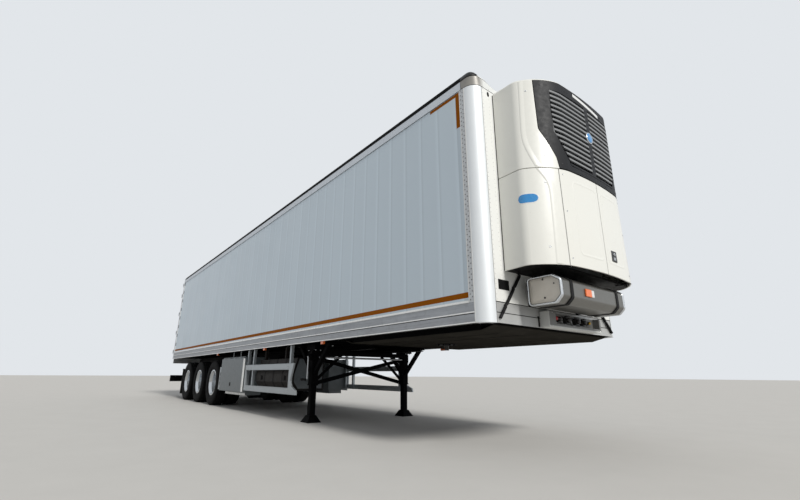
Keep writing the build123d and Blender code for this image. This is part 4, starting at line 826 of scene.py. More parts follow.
AXLES = (8.72, 10.03, 11.34)
TYRE_RADIUS = 0.525
TYRE_HALF = 0.138
OUTER_PLANE = 1.252 - TYRE_HALF
INNER_PLANE = OUTER_PLANE - 0.334
MOUNT_PLANE = (OUTER_PLANE + INNER_PLANE) / 2
TYRE_SIDE = [
    (0.086, 0.2868), (0.104, 0.292), (0.112, 0.300), (0.119, 0.312), (0.121, 0.3135),
    (0.124, 0.318), (0.1345, 0.345), (0.1372, 0.366), (0.1378, 0.369), (0.1366, 0.372),
    (0.1374, 0.395), (0.1378, 0.425), (0.1366, 0.448), (0.1372, 0.4505), (0.1352, 0.454),
    (0.1318, 0.475), (0.1265, 0.490), (0.1265, 0.498), (0.119, 0.5085), (0.110, 0.5165),
]
TYRE_TREAD = [
    (0.104, 0.5190), (0.0805, 0.5225), (0.0795, 0.511), (0.0695, 0.511), (0.0685, 0.5235),
    (0.0335, 0.5246), (0.0325, 0.512), (0.0225, 0.512), (0.0215, 0.5249),
]
LUG = [
    (-1, 0.0955, 0.5245), (1, 0.0955, 0.5245), (1, 0.112, 0.5235), (-1, 0.112, 0.5235),
    (-1, 0.1285, 0.5045), (1, 0.1285, 0.5045), (-1, 0.0955, 0.514), (1, 0.0955, 0.514),
    (1, 0.122, 0.500), (-1, 0.122, 0.500),
]
LUG_FACES = [(0, 1, 2, 3), (3, 2, 5, 4), (0, 6, 7, 1), (1, 7, 8, 5, 2), (0, 3, 4, 9, 6),
             (4, 5, 8, 9)]
LUG_HALF = 0.0185
LUG_COUNT = 54


def tyre_piece(name, x, y, body):
    middle = Vector((x, y, TYRE_RADIUS))
    half = TYRE_SIDE + TYRE_TREAD
    profile = [(-d, r) for d, r in half] + [(d, r) for d, r in reversed(half)]
    shape = Shape().lathe(profile, middle, (0, 1, 0), 72)
    for side, _ in SIDES:
        for k in range(LUG_COUNT):
            turn = Matrix.Rotation(2 * math.pi * (k + 0.5) / LUG_COUNT, 3, "Y")
            shape.add([turn @ Vector((half_x * LUG_HALF, side * py, pz)) + middle
                       for half_x, py, pz in LUG], [face[::side] for face in LUG_FACES])
    return shape.piece(name, "tyre", body)


def wheel_hardware(name, x, side, body):
    """Nuts, hub cap and valve on the outer wheel's face."""
    outward = (0, side, 0)

    def place(dx, out, dz):
        return (x + dx, side * (MOUNT_PLANE + out), TYRE_RADIUS + dz)

    shape = Shape()
    for dx, dz in ring(10, 0.1675, 0.5):
        shape.bolts([place(dx, 0.022, dz)], outward, 0.0175, 0.030)
        shape.lathe([(0.03, 0.011), (0.044, 0.011), (0.047, 0.0)], place(dx, 0.022, dz), outward,
                    10)
    shape.lathe([(0.112, 0.076), (0.142, 0.071), (0.149, 0.064), (0.151, 0.0)], place(0, 0, 0),
                outward, 32)
    shape.bolts([place(dx, 0.036, dz) for dx, dz in ring(8, 0.108)], outward, 0.008, 0.010)
    shape.tube(curve([place(0.2, 0.02, -0.09), place(0.215, 0.05, -0.10),
                      place(0.225, 0.10, -0.105)], 4), 0.005, 8)
    shape.piece(name, "polished_alloy", body)


for number, back in enumerate(AXLES, start=1):
    for side, side_name in SIDES:
        label = f"{number}_{side_name}"
        body = f"wheel_set_{label}"
        outer = tyre_piece(f"tyre_outer_{label}", at(back), side * OUTER_PLANE, body)
        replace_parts(outer, f"tyres_{label}")
        tyre_piece(f"tyre_inner_{label}", at(back), side * INNER_PLANE, body)
        wheel_hardware(f"wheel_hardware_{label}", at(back), side, body)


# Cooling unit


def tree_of(*names):
    points, faces = [], []
    for name in names:
        mesh = nodes[name].data
        base = len(points)
        points += [v.co.copy() for v in mesh.vertices]
        faces += [[base + i for i in p.vertices] for p in mesh.polygons]
    return BVHTree.FromPolygons(points, faces)


UNIT_TREE = tree_of("unit_hood", "unit_lower_sides", "unit_door_right", "unit_door_left",
                    "unit_cowl")
CREASE = [
    (0.334, 3.795), (0.330, 3.55), (0.326, 3.30), (0.325, 3.15), (0.332, 3.05), (0.350, 2.96),
    (0.380, 2.85), (0.409, 2.755),
]
CREASE_LOW = [
    (0.415, 2.725), (0.444, 2.66), (0.466, 2.60), (0.480, 2.53), (0.485, 2.46), (0.486, 2.30),
    (0.486, 2.10), (0.485, 1.90), (0.484, 1.735),
]
SIDE_BADGE_X, SIDE_BADGE_Z = 0.325, 2.405


def on_side(x, z):
    """Point and normal of the unit's skin where a line from the right side meets it."""
    return UNIT_TREE.ray_cast(Vector((ahead(x), -3, z)), Vector((0, 1, 0)))[:2]


def on_front(y, z):
    """Point and normal of the unit's skin where a line from ahead meets it."""
    return UNIT_TREE.ray_cast(Vector((ahead(2), y, z)), Vector(BACK))[:2]


def crease_strip(points):
    """Raised fold down the unit's right side, and its mirror image on the left."""
    rows = []
    for p in curve([(x, 0, z) for x, z in points], 4):
        row = [on_side(p.x + d, p.z) for d in (-0.008, -0.003, 0.004, 0.012, 0.024, 0.042)]
        if all(hit is not None for hit, _ in row):
            rows.append([(hit, Vector((n.x, n.y, 0)).normalized()) for hit, n in row])
    heights = (-0.0006, 0.0030, 0.0042, 0.0038, 0.0020, -0.0006)
    return Shape().ribbon(rows, heights, RIGHT).mirror_y(UNIT_MIDDLE)


def door_emboss(side, inner=0.05, outer=0.46, low=1.86, high=2.63, radius=0.05):
    """Raised line round a rectangle with round corners on a lower door."""
    line = []
    for cy, cz, start in ((outer - radius, high - radius, 0), (inner + radius, high - radius, 90),
                          (inner + radius, low + radius, 180),
                          (outer - radius, low + radius, 270)):
        for a in (math.radians(start + 15 * k) for k in range(7)):
            line.append(Vector((cy + radius * math.cos(a), cz + radius * math.sin(a))))
    dense = []
    for a, b in zip(line, line[1:] + line[:1]):
        count = max(1, round((b - a).length / 0.06))
        dense += [a + (b - a) * k / count for k in range(count)]
    middle = Vector(((inner + outer) / 2, (low + high) / 2))
    rows = []
    for p in dense + dense[:1]:
        away = (p - middle).normalized()
        rows.append([on_front(UNIT_MIDDLE + side * (p.x + away.x * d), p.y + away.y * d)
                     for d in (-0.016, -0.006, 0.006, 0.016)])
    return Shape().ribbon(rows, (-0.0006, 0.0026, 0.0026, -0.0006), AHEAD)


def side_badges(grown, heights):
    """Blank ovals on the unit's sides."""
    rows = []
    for t in steps(-1, 1, 1 / 12):
        reach = 0.004 + (0.044 + grown) * math.sqrt(max(0.0, 1 - t ** 4))
        rows.append([on_side(SIDE_BADGE_X + (0.082 + grown) * t, SIDE_BADGE_Z + d)
                     for d in (-reach, -reach + 0.003, reach - 0.003, reach)])
    return Shape().ribbon(rows, heights, RIGHT, False).mirror_y(UNIT_MIDDLE)


def unit_details():
    crease_strip(CREASE).piece("unit_crease_upper", "unit_white")
    crease_strip(CREASE_LOW).piece("unit_crease_lower", "unit_white")
    screws = Shape()
    for x, z in ((0.385, 3.666), (0.475, 2.88), (0.462, 2.573), (0.453, 1.897)):
        screws.screw(on_side(x, z), 0.011)
    screws.mirror_y(UNIT_MIDDLE).piece("unit_side_screws", "zinc")
    for side, name in SIDES:
        door = f"unit_door_{name}"
        door_emboss(side).piece(f"unit_door_emboss_{name}", "unit_white", door)
        screws = Shape()
        for z in (1.80, 2.28, 2.68):
            screws.screw(on_front(UNIT_MIDDLE + side * 0.59, z))
        screws.piece(f"unit_door_screws_{name}", "zinc", door)
    x = on_front(0.138, 1.945)[0].x
    latch = Shape().block(x - 0.004, x + 0.007, 0.083, 0.193, 1.885, 2.005, 0.006)
    latch.piece("unit_latch_plate", "black_edging", "unit_door_left")
    lock = Shape().lathe([(0, 0.017), (0.007, 0.017), (0.009, 0.014), (0.006, 0.011), (0.006, 0)],
                         (x + 0.006, 0.138, 1.967), AHEAD, 20)
    lock.block(x + 0.006, x + 0.011, 0.118, 0.158, 1.900, 1.933, 0.004)
    lock.piece("unit_latch_lock", "zinc", "unit_door_left")
    screws = Shape()
    for side, _ in SIDES:
        for y, z in ((0.72, 3.74), (0.725, 3.30), (0.58, 2.80), (0.25, 2.775), (0.40, 3.745)):
            screws.screw(on_front(UNIT_MIDDLE + side * y, z), 0.008)
    screws.piece("cowl_screws", "black_edging")
    hit, normal = on_front(UNIT_MIDDLE, 3.30)
    for name, look_name, profile in (
            ("cowl_badge_rim", "bright_trim",
             [(0, 0.068), (0.006, 0.068), (0.010, 0.062), (0.008, 0.058)]),
            ("cowl_blank_badge", "badge_blue",
             [(0, 0.0582), (0.0085, 0.0582), (0.0105, 0.038), (0.0112, 0)])):
        Shape().lathe(profile, hit - normal * 0.002, normal, 36).piece(name, look_name)
    rows = [[on_front(-0.30 + 0.565 * t, 3.760 - 0.045 * t + d)
             for d in (-0.021, -0.017, 0.017, 0.021)] for t in steps(0, 1, 1 / 24)]
    strip = Shape().ribbon(rows, (-0.0004, 0.0016, 0.0016, -0.0004), AHEAD, False)
    strip.piece("cowl_blank_strip", "plate_white")
    side_badges(0.007, (-0.0004, 0.0012, 0.0012, -0.0004)).piece("unit_side_badge_rims",
                                                                 "plate_white")
    side_badges(0.0, (0.0, 0.0022, 0.0022, 0.0)).piece("unit_side_badges", "badge_blue")
    gasket = Shape().prism([(-0.974, 1.73), (-0.962, 2.74), (-0.956, 3.80), (-0.925, 3.80),
                            (-0.925, 1.73)], "x", ahead(0.0006), ahead(0.0116))
    gasket.mirror_y(UNIT_MIDDLE).piece("unit_rear_gasket", "seam_dark")
    fins = Shape()
    for y in steps(UNIT_MIDDLE - 0.60, UNIT_MIDDLE + 0.60, 0.012):
        fins.block(ahead(0.4703), ahead(0.4743), y - 0.0012, y + 0.0012, 2.78, 3.69, 0.0004)
    fins.piece("coil_fins", "unit_dark")
    pipes = Shape()
    for y, radius in ((-0.50, 0.012), (-0.55, 0.009), (0.52, 0.012)):
        line = [(0.10, y, 1.76), (0.16, y, 1.84), (0.18, y * 0.9, 2.0), (0.18, y * 0.9, 2.35),
                (0.12, y * 0.85, 2.60)]
        pipes.tube(curve([(ahead(px), py, pz) for px, py, pz in line]), radius, 8)
    pipes.piece("unit_inner_pipes", "black_rubber")
    plant = Shape()
    plant.lathe([(0, 0.0), (0, 0.11), (0.03, 0.115), (0.05, 0.09), (0.06, 0.09), (0.07, 0.115),
                 (0.085, 0.11), (0.085, 0.03), (0.10, 0.03), (0.10, 0)],
                (ahead(0.368), UNIT_MIDDLE - 0.15, 1.98), AHEAD, 28)
    plant.lathe([(0, 0.0), (0, 0.065), (0.02, 0.07), (0.035, 0.055), (0.05, 0.07), (0.06, 0.065),
                 (0.06, 0.0)], (ahead(0.368), UNIT_MIDDLE + 0.19, 2.16), AHEAD, 24)
    plant.block(ahead(0.368), ahead(0.40), -0.43, -0.07, 2.20, 2.40, 0.01)
    plant.bolts([(ahead(0.40), y, 2.30) for y in (-0.39, -0.25, -0.11)], AHEAD, 0.012, 0.012)
    plant.piece("engine_pulleys", "engine_iron")


unit_details()


# Tank and coupling box

TANK_ENDS = ((-1, "right", -0.780), (1, "left", 0.500))
TANK_STRAPS = (-0.590, 0.330)
TANK_CAP = 0.02
COUPLING_Z = 1.310
RIM_STEPS = ((0.0005, 0.032), (0.0035, 0.030), (0.006, 0.023), (0.0068, 0.012), (0.005, 0.002),
             (0.001, -0.0022), (-0.006, -0.0015), (-0.011, 0.004), (-0.0125, 0.012))
FACE_STEPS = ((-0.0125, 0.0114), (-0.024, 0.0100), (-0.036, 0.0090))
FITTINGS = (
    (-0.268, 0.028, "red_cap"), (-0.181, 0.032, "coupling_dark"), (-0.015, 0.040, "coupling_dark"),
    (0.186, 0.040, "coupling_dark"), (0.331, 0.036, "coupling_dark"), (0.424, 0.022, "yellow_cap"),
)


def tank_section(grow):
    """Tank outline as (x, z), grown outwards, with cut corners rounded."""
    b, f, low, top = 0.120 - grow, 0.470 + grow, 1.380 - grow, 1.650 + grow
    corners = [Vector(c) for c in ((b, low), (f - 0.062, low), (f, low + 0.062), (f, top - 0.050),
                                   (f - 0.078, top), (b, top))]
    result = []
    for p, q, s in zip(corners[-1:] + corners, corners, corners[1:] + corners[:1]):
        a, d = (p - q).normalized(), (s - q).normalized()
        reach = (0.040 + grow) / math.tan(a.angle(d) / 2)
        start, end = q + a * reach, q + d * reach
        result += [(1 - t) ** 2 * start + 2 * t * (1 - t) * q + t * t * end
                   for t in (k / 5 for k in range(6))]
    return result


def tank_loops(side, end, table):
    """Closed loops round a tank's end, given by how far they grow and stand inward."""
    loops = [[(ahead(x), end - side * inward, z) for x, z in tank_section(grow)]
             for grow, inward in table]
    return loops[::-side]


def tank_details():
    rims = Shape()
    for side, _, end in TANK_ENDS:
        rims.grid(tank_loops(side, end, RIM_STEPS), True)
    rims.piece("tank_rims", "bright_trim")
    for side, name, end in TANK_ENDS:
        loops = tank_loops(side, end, FACE_STEPS)
        inner = loops[-1 if side < 0 else 0]
        face = Shape().grid(loops, True).add(inner, [tuple(range(len(inner)))[::side]])
        face.piece(f"tank_end_{name}", "tank_end")
    bolts = Shape()
    for side, _, end in TANK_ENDS:
        for x, z, radius, height in ((0.286, 1.618, 0.010, 0.008), (0.293, 1.440, 0.010, 0.008),
                                     (0.399, 1.565, 0.008, 0.006)):
            bolts.bolts([(ahead(x), end - side * 0.0118, z)], (0, side, 0), radius, height)
    bolts.piece("tank_end_bolts", "coupling_dark")
    buckles = Shape()
    for y in TANK_STRAPS:
        x = ahead(0.27)
        buckles.block(ahead(0.24), ahead(0.30), y - 0.028, y + 0.028, 1.656, 1.668, 0.003)
        buckles.tube([(x, y - 0.012, 1.662), (x, y - 0.012, 1.70)], 0.005, 8)
        buckles.bolts([(x, y - 0.012, 1.684)], UP, 0.009, 0.010)
    buckles.piece("strap_buckles", "zinc")
    for name, look_name, row in (
            ("amber", "amber_lens", (-0.468, -0.484, -0.345, -0.232, 1.478, 1.556)),
            ("clear", "clear_lens", (-0.468, -0.481, -0.230, -0.176, 1.480, 1.554))):
        Shape().boxes([row], 0.005).piece(f"tank_lamp_{name}", look_name)
    cap = Shape().lathe([(0, 0.030), (0.018, 0.030), (0.018, 0.041), (0.024, 0.043),
                         (0.040, 0.043), (0.046, 0.038), (0.046, 0.0)],
                        (ahead(0.22), TANK_CAP, 1.648), UP, 28)
    for dx, dy in ring(14, 0.042):
        cap.lathe([(0, 0.004), (0.018, 0.004), (0.02, 0)],
                  (ahead(0.22) + dx, TANK_CAP + dy, 1.672), UP, 6)
    cap.piece("tank_cap", "black_rubber")
    hoses = Shape()
    for line in ([(0.16, 0.30, 1.65), (0.15, 0.30, 1.70), (0.12, 0.25, 1.72)],
                 [(0.18, 0.34, 1.65), (0.17, 0.34, 1.70), (0.14, 0.28, 1.72)]):
        hoses.tube(curve([(ahead(x), y, z) for x, y, z in line]), 0.007, 8)
    hoses.piece("tank_fuel_lines", "black_rubber")


def coupling_details():
    x, z, back = ahead(0.090), COUPLING_Z, ahead(0.0252)
    collars = Shape()
    for number, (y, radius, look_name) in enumerate(FITTINGS, start=1):
        lip, r = radius * 0.72, radius + 0.004
        cover = Shape().lathe([(-0.004, lip), (0.004, lip + 0.001), (0.009, lip - 0.003),
                               (0.011, 0)], (x, y, z), (1, 0, 0.06), 24)
        if number <= 2:
            cover.prism([(y - 0.050, 1.300), (y + 0.010, 1.300), (y + 0.010, 1.320),
                         (y - 0.050, 1.316)], "x", x - 0.006, x + 0.001)
        elif radius > 0.03:
            cover.block(x - 0.045, x + 0.004, y - 0.018, y + 0.018, z + radius,
                        z + 0.008 + radius, 0.002)
        cover.piece(f"coupling_cover_{number}", look_name)
        collars.lathe([(0.0, r + 0.006), (0.006, r + 0.006), (0.008, r), (0.008, r - 0.012)],
                      (back, y, z), AHEAD, 24)
        reach = (r + 0.003) * 0.78
        collars.domes([(back, y + sy * reach, z + sz * reach)
                       for sy, sz in product((-1, 1), repeat=2)], AHEAD, 0.005, 0.006)
    collars.piece("coupling_collars", "zinc")
    places = [(ahead(0.105), y, 1.224) for y in (-0.42, -0.36, 0.0, 0.3, 0.635)]
    places += [(ahead(0.105), y, 1.360) for y in (-0.42, -0.36, 0.635)]
    Shape().domes(places, AHEAD, 0.005, 0.0025).piece("coupling_box_rivets", "bright_trim")
    slit = Shape().boxes([(0.004, -0.0035, -0.468, -0.442, 1.212, 1.322)], 0.001)
    slit.piece("front_rail_slit", "seam_dark")


tank_details()
coupling_details()


# Landing gear, built on the right side

LEG_X, LEG_Y = at(3.93), -0.966
LEG_FACE = LEG_Y - 0.061


def leg_details():
    bolts = Shape()
    bolts.bolts([(LEG_X + dx, LEG_FACE, z) for z in (1.06, 0.98) for dx in (-0.035, 0.035)],
                RIGHT, 0.010, 0.010)
    places = [(dx, dy, 1.120) for dx in (-0.12, 0.12) for dy in (-0.045, 0.045)]
    places += [(dx, 0.034, 1.171) for dx in (-0.45, -0.53, 0.45, 0.53)]
    bolts.bolts([(LEG_X + dx, LEG_Y + dy, z) for dx, dy, z in places], DOWN, 0.010, 0.012)
    bolts.mirror_y().piece("leg_bolts", "zinc")
    plates = Shape()
    for half_x, y0, y1, z0, z1 in ((0.055, LEG_FACE, LEG_FACE - 0.014, 0.945, 1.10),
                                   (0.066, -0.90, -1.032, 0.556, 0.580)):
        plates.block(LEG_X - half_x, LEG_X + half_x, y0, y1, z0, z1, 0.004)
    plates.tube([(LEG_X, -0.900, 0.085), (LEG_X, -1.032, 0.085)], 0.014, 12)
    for end in (-1, 1):
        plates.block(LEG_X + end * 0.072, LEG_X + end * 0.084, LEG_Y - 0.03, LEG_Y + 0.03, 0.010,
                     0.07, 0.002)
    plates.mirror_y().piece("leg_plates", "chassis_black")
    x = LEG_X + 0.02
    gear = Shape().lathe([(0, 0.052), (0.035, 0.050), (0.045, 0.040), (0.045, 0.024),
                          (0.060, 0.022), (0.060, 0)], (x, LEG_FACE, 1.005), RIGHT, 24)
    gear.bolts([(x + dx, -1.062, 1.005 + dz) for dx, dz in ring(6, 0.042)], RIGHT, 0.005, 0.006)
    gear.piece("leg_gear_housing", "chassis_black")
    grip = Shape().lathe([(0.0, 0.012), (0.004, 0.0165), (0.02, 0.0175), (0.05, 0.0165),
                          (0.085, 0.0175), (0.098, 0.0165), (0.104, 0.012), (0.104, 0)],
                         (x, LEG_FACE - 0.066, 0.650), RIGHT, 20)
    grip.piece("crank_grip", "black_rubber")


leg_details()


# Side gear

LOCK = 7.207
BOX_FRONT = at(4.300)


def locker_door_details(side, name):
    door = f"locker_door_{name}"
    lock = Shape().boxes([(LOCK + 0.03, LOCK - 0.03, -1.2745, -1.2785, 0.478, 0.556),
                          (LOCK + 0.006, LOCK - 0.006, -1.2775, -1.2855, 0.488, 0.530)], 0.001)
    lock.lathe([(0, 0.016), (0.006, 0.016), (0.008, 0.012), (0.008, 0)],
               (at(LOCK), -1.2775, 0.523), RIGHT, 16)
    lock.moved_to(side).piece(f"locker_locks_{name}", "black_rubber", door)
    trim = Shape().domes([(at(back), -1.2748, z) for back in (6.50, 7.88)
                          for z in (0.50, 0.72, 0.94)], RIGHT, 0.006, 0.003, 8)
    trim.moved_to(side).piece(f"locker_door_rivets_{name}", "zinc", door)
    edge = Shape().boxes([(6.478, 6.4285, -1.2746, -1.2775, 0.380, 1.040),
                          (6.4315, 6.4282, -1.2765, -1.2560, 0.380, 1.040)], 0.001)
    edge.moved_to(side).piece(f"locker_door_edge_{name}", "plate_white", door)


def side_gear_details():
    strips = Shape().boxes([(7.835, 6.526, -1.1565, -1.1535, 0.300, 0.345),
                            (7.90, 6.44, -1.2465, -1.2435, 0.372, 0.3845)], 0.001)
    strips.mirror_y().piece("locker_lower_strips", "plate_white")
    for side, name in SIDES:
        locker_door_details(side, name)
    gutter = Shape().boxes([(7.93, 6.45, -1.2445, -1.205, 1.0702, 1.0732),
                            (7.93, 6.45, -1.2445, -1.2415, 1.0732, 1.084)], 0.001)
    gutter.domes([(at(back), -1.222, 1.0732) for back in steps(6.55, 7.85, 0.26)], UP, 0.006,
                 0.003)
    gutter.mirror_y().piece("locker_top_gutters", "grey_box")
    bolts = Shape()
    for back in (4.32, 6.055, 6.365):
        bolts.bolts([(at(back), -1.245, z) for z in (0.445, 0.478, 0.835, 0.868)], RIGHT, 0.009,
                    0.007)
        bolts.bolts([(at(back), -1.215, z) for z in (1.16, 1.19)], RIGHT, 0.008, 0.006)
    bolts.mirror_y().piece("guard_bolts", "zinc")
    lips = Shape().boxes([(6.395, 4.28, -1.2462, -1.2448, z - 0.002, z + 0.002)
                          for z in (0.412, 0.508, 0.806, 0.900)], 0.0003)
    lips.mirror_y().piece("guard_edge_lips", "grey_guard")
    plate = Shape().prism([(-1.052, 0.497), (-0.600, 0.497), (-0.600, 0.985), (-1.050, 0.985),
                           (-1.128, 0.726), (-1.128, 0.606)], "x", BOX_FRONT - 0.001,
                          BOX_FRONT + 0.003)
    plate.piece("pallet_box_front_plate", "grey_box")
    band = Shape()
    for line in ([(-1.072, 0.468), (-1.156, 0.599), (-1.156, 0.731), (-1.076, 1.001)],
                 [(-1.072, 0.470), (-0.575, 0.470)]):
        band.tube([(BOX_FRONT + 0.002, y, z) for y, z in line], 0.009, 8)
    for back in (4.75, 5.15, 5.55):
        band.prism([(-1.0745, 0.464), (-1.1595, 0.598), (-1.1595, 0.732), (-1.079, 1.003),
                    (-1.0745, 1.0), (-1.155, 0.73), (-1.155, 0.60), (-1.070, 0.470)], "x",
                   at(back + 0.02), at(back - 0.02))
    band.piece("pallet_box_bands", "black_rubber")
    latches = Shape()
    for back in (4.62, 5.68):
        latches.boxes([(back - 0.035, back + 0.035, -1.165, -1.152, 0.63, 0.70)], 0.002)
        latches.tube([(at(back), -1.168, 0.62), (at(back), -1.168, 0.71)], 0.006, 8)
    latches.piece("pallet_box_latches", "unit_dark")


side_gear_details()


# Hoses, rear end, underframe and inside

HOSE_HEAD_Y, HOSE_HEAD_Z = 0.700, 1.705
HOSE_FOOT_Y, HOSE_FOOT_Z = 1.105, 1.250
DOOR_BACK = 13.750
SILL = 13.6485
HEADER_X = at(13.6585)
PIN_X = at(1.8)
SPRING_Y = 0.490


def hose_sleeves():
    sleeves = Shape()
    for side, _ in SIDES:
        head = Vector((ahead(0.016), UNIT_MIDDLE + side * HOSE_HEAD_Y, HOSE_HEAD_Z))
        along = Vector((ahead(0.016), side * HOSE_FOOT_Y, HOSE_FOOT_Z)) - head
        for low, high in ((0.02, 0.27), (0.33, 0.69), (0.75, 0.89)):
            count = int((high - low) * along.length / 0.012)
            profile = []
            for k in range(count + 1):
                d = (low + (high - low) * k / count) * along.length
                profile += [(d - 0.003, 0.0150), (d, 0.0168), (d + 0.003, 0.0150)]
            ends = [(profile[end][0], 0.0118) for end in (0, -1)]
            sleeves.lathe([ends[0], *profile, ends[1]], head, along.normalized(), 14)
    sleeves.piece("hose_sleeves", "unit_dark")


def door_details(side, name):
    """Seal, bolts and lock handles of a rear door, built on the right side."""
    body = f"rear_door_{name}"
    skin = (DOOR_BACK + 0.002, DOOR_BACK - 0.001)
    seal = Shape().boxes([(*skin, -0.010, -1.236, low, low + 0.018) for low in (1.289, 3.903)]
                         + [(*skin, -y, -y - 0.014, 1.307, 3.903) for y in (0.010, 1.222)],
                         0.0005)
    seal.moved_to(side).piece(f"door_seal_{name}", "black_rubber", body)
    x = at(DOOR_BACK)
    bolts = Shape().bolts([(x - 0.008, -y, z) for z in (1.45, 2.10, 2.75, 3.40, 3.79)
                           for y in (1.20, 1.135, 1.06)], BACK, 0.009, 0.007)
    handles = Shape()
    for y, z in ((0.210, 1.66), (0.760, 1.80)):
        for out, inner, y0, y1, half_z, cut in (
                (0.040, 0.034, -0.02, 0.30, 0.014, 0.002), (0.034, 0.010, -0.02, 0.02, 0.03, 0.003),
                (0.034, 0, 0.25, 0.262, 0.035, 0.002)):
            handles.boxes([(DOOR_BACK + out, DOOR_BACK + inner, -y - y0, -y - y1, z - half_z,
                            z + half_z)], cut)
        handles.domes([(x - 0.040, -y, z)], BACK, 0.010, 0.003, 8)
        for height, sign in product((1.52, 2.42, 3.05, 3.66), (-1, 1)):
            handles.boxes([(DOOR_BACK + 0.014, DOOR_BACK, sign * 0.012 - y, sign * 0.034 - y,
                            height - 0.03, height + 0.03)], 0.002)
            bolts.domes([(x - 0.014, sign * 0.023 - y, height)], BACK, 0.006, 0.004)
    handles.moved_to(side).piece(f"door_handles_{name}", "zinc", body)
    bolts.moved_to(side).piece(f"door_bolts_{name}", "zinc", body)


def rear_details():
    bezels = Shape()
    for y, look_name, kind in ((1.130, "red_lens", "outer"), (0.980, "amber_lens", "middle"),
                               (0.830, "clear_lens", "inner")):
        place = (at(SILL + 0.028), -y, 1.130)
        lens = Shape().lathe([(0, 0.054), (0.004, 0.053), (0.007, 0.048), (0.008, 0.030),
                              (0.0065, 0.028), (0.009, 0.0)], place, BACK, 32)
        bezels.lathe([(-0.010, 0.0625), (-0.010, 0.068), (0.003, 0.067), (0.005, 0.060),
                      (0.001, 0.0545)], place, BACK, 32)
        lens.mirror_y().piece(f"tail_lens_{kind}", look_name)
    bezels.mirror_y().piece("tail_lamp_bezels", "black_rubber")
    plate = Shape().boxes([(SILL + 0.006, SILL, -0.260, 0.260, 1.072, 1.186)], 0.003)
    plate.piece("rear_blank_plate", "plate_white")
    rim = Shape().boxes([(SILL + 0.009, SILL, *row) for row in (
        (-0.272, 0.272, 1.064, 1.072), (-0.272, 0.272, 1.186, 1.194),
        (-0.272, -0.260, 1.072, 1.186), (0.260, 0.272, 1.072, 1.186))], 0.001)
    rim.boxes([(SILL + 0.030, SILL, y - 0.035, y + 0.035, 1.194, 1.208) for y in (-0.14, 0.14)],
              0.003)
    rim.piece("rear_plate_frame", "black_rubber")
    for name, look_name, out, y0, y1, z0, z1, cut in (
            ("rear_top_lamps", "red_lens", 0.012, -1.10, -1.20, 3.945, 3.975, 0.004),
            ("dock_rubbers", "black_rubber", 0.045, -1.09, -1.265, 1.212, 1.272, 0.008)):
        pair = Shape().block(HEADER_X - out, HEADER_X, y0, y1, z0, z1, cut)
        pair.mirror_y().piece(name, look_name)
    stripe, gaps = Shape(), Shape()
    for z in steps(1.44, 3.54, 0.30):
        stripe.boxes([(13.528, 13.498, -0.0008, 0.008, z, z + 0.19)], 0.0004, -HALF)
        gaps.boxes([(13.528, 13.498, -0.0006, 0.008, z + 0.19, z + 0.30)], 0.0003, -HALF)
    stripe.mirror_y().piece("rear_marker_stripe", "tape_white")
    gaps.mirror_y().piece("rear_marker_gaps", "coupling_dark")
    ribs = Shape().boxes([(11.990, 11.986, -y - 0.004, -y + 0.004, 0.17, 0.78)
                          for y in steps(0.70, 1.20, 0.06)], 0.001)
    ribs.bolts([(at(12.010), -y, 0.85) for y in (0.70, 0.95, 1.19)], BACK, 0.011, 0.008)
    ribs.mirror_y().piece("mud_flap_ribs", "black_rubber")


def axle_details():
    """Brake chambers, shock absorbers and bolts, built on the right side and mirrored."""
    chambers, shocks, bolts = Shape(), Shape(), Shape()
    for x in map(at, AXLES):
        y = -0.352
        chambers.lathe([(0.110, 0.0), (0.110, 0.070), (0.118, 0.078), (0.182, 0.078),
                        (0.184, 0.084), (0.200, 0.084), (0.202, 0.076), (0.262, 0.074),
                        (0.270, 0.066), (0.300, 0.064), (0.306, 0.056), (0.306, 0.0)],
                       (x, y, 0.640), AHEAD, 24)
        chambers.tube([(x + 0.11, y, 0.64), (x + 0.02, y, 0.655)], 0.010, 8)
        chambers.block(x - 0.005, x + 0.035, y - 0.012, y + 0.012, 0.585, 0.70, 0.004)
        for (x0, y0, z0), (x1, y1, z1), radius, sides in (
                ((-0.100, -0.405, 0.520), (-0.02, -0.405, 0.690), 0.024, 12),
                ((-0.045, -0.405, 0.640), (0.055, -0.405, 0.850), 0.031, 14),
                ((-0.100, -0.380, 0.520), (-0.100, -0.455, 0.520), 0.014, 8),
                ((0.060, -0.380, 0.862), (0.060, -0.470, 0.862), 0.014, 8)):
            shocks.tube([(x + x0, y0, z0), (x + x1, y1, z1)], radius, sides)
        for dx, dy in product((-0.066, 0.066), (-0.047, 0.047)):
            y = dy - SPRING_Y
            bolts.tube([(x + dx, y, 0.425), (x + dx, y, 0.672)], 0.008, 8)
            bolts.bolts([(x + dx, y, 0.655)], UP, 0.014, 0.014)
            bolts.bolts([(x + dx, y, 0.432)], DOWN, 0.014, 0.014)
        for sign in (-1, 1):
            bolts.bolts([(x + 0.48, sign * 0.052 - SPRING_Y, 0.62)], (0, sign, 0), 0.026, 0.018)
    chambers.mirror_y()
    for x, (y0, y1) in product(map(at, AXLES), ((-0.402, -0.455), (0.302, 0.455))):
        chambers.block(x + 0.095, x + 0.11, y0, y1, 0.59, 0.69, 0.003)
    chambers.piece("brake_chambers", "chassis_black")
    shocks.mirror_y().piece("shock_absorbers", "unit_dark")
    bolts.mirror_y().piece("suspension_bolts", "zinc")


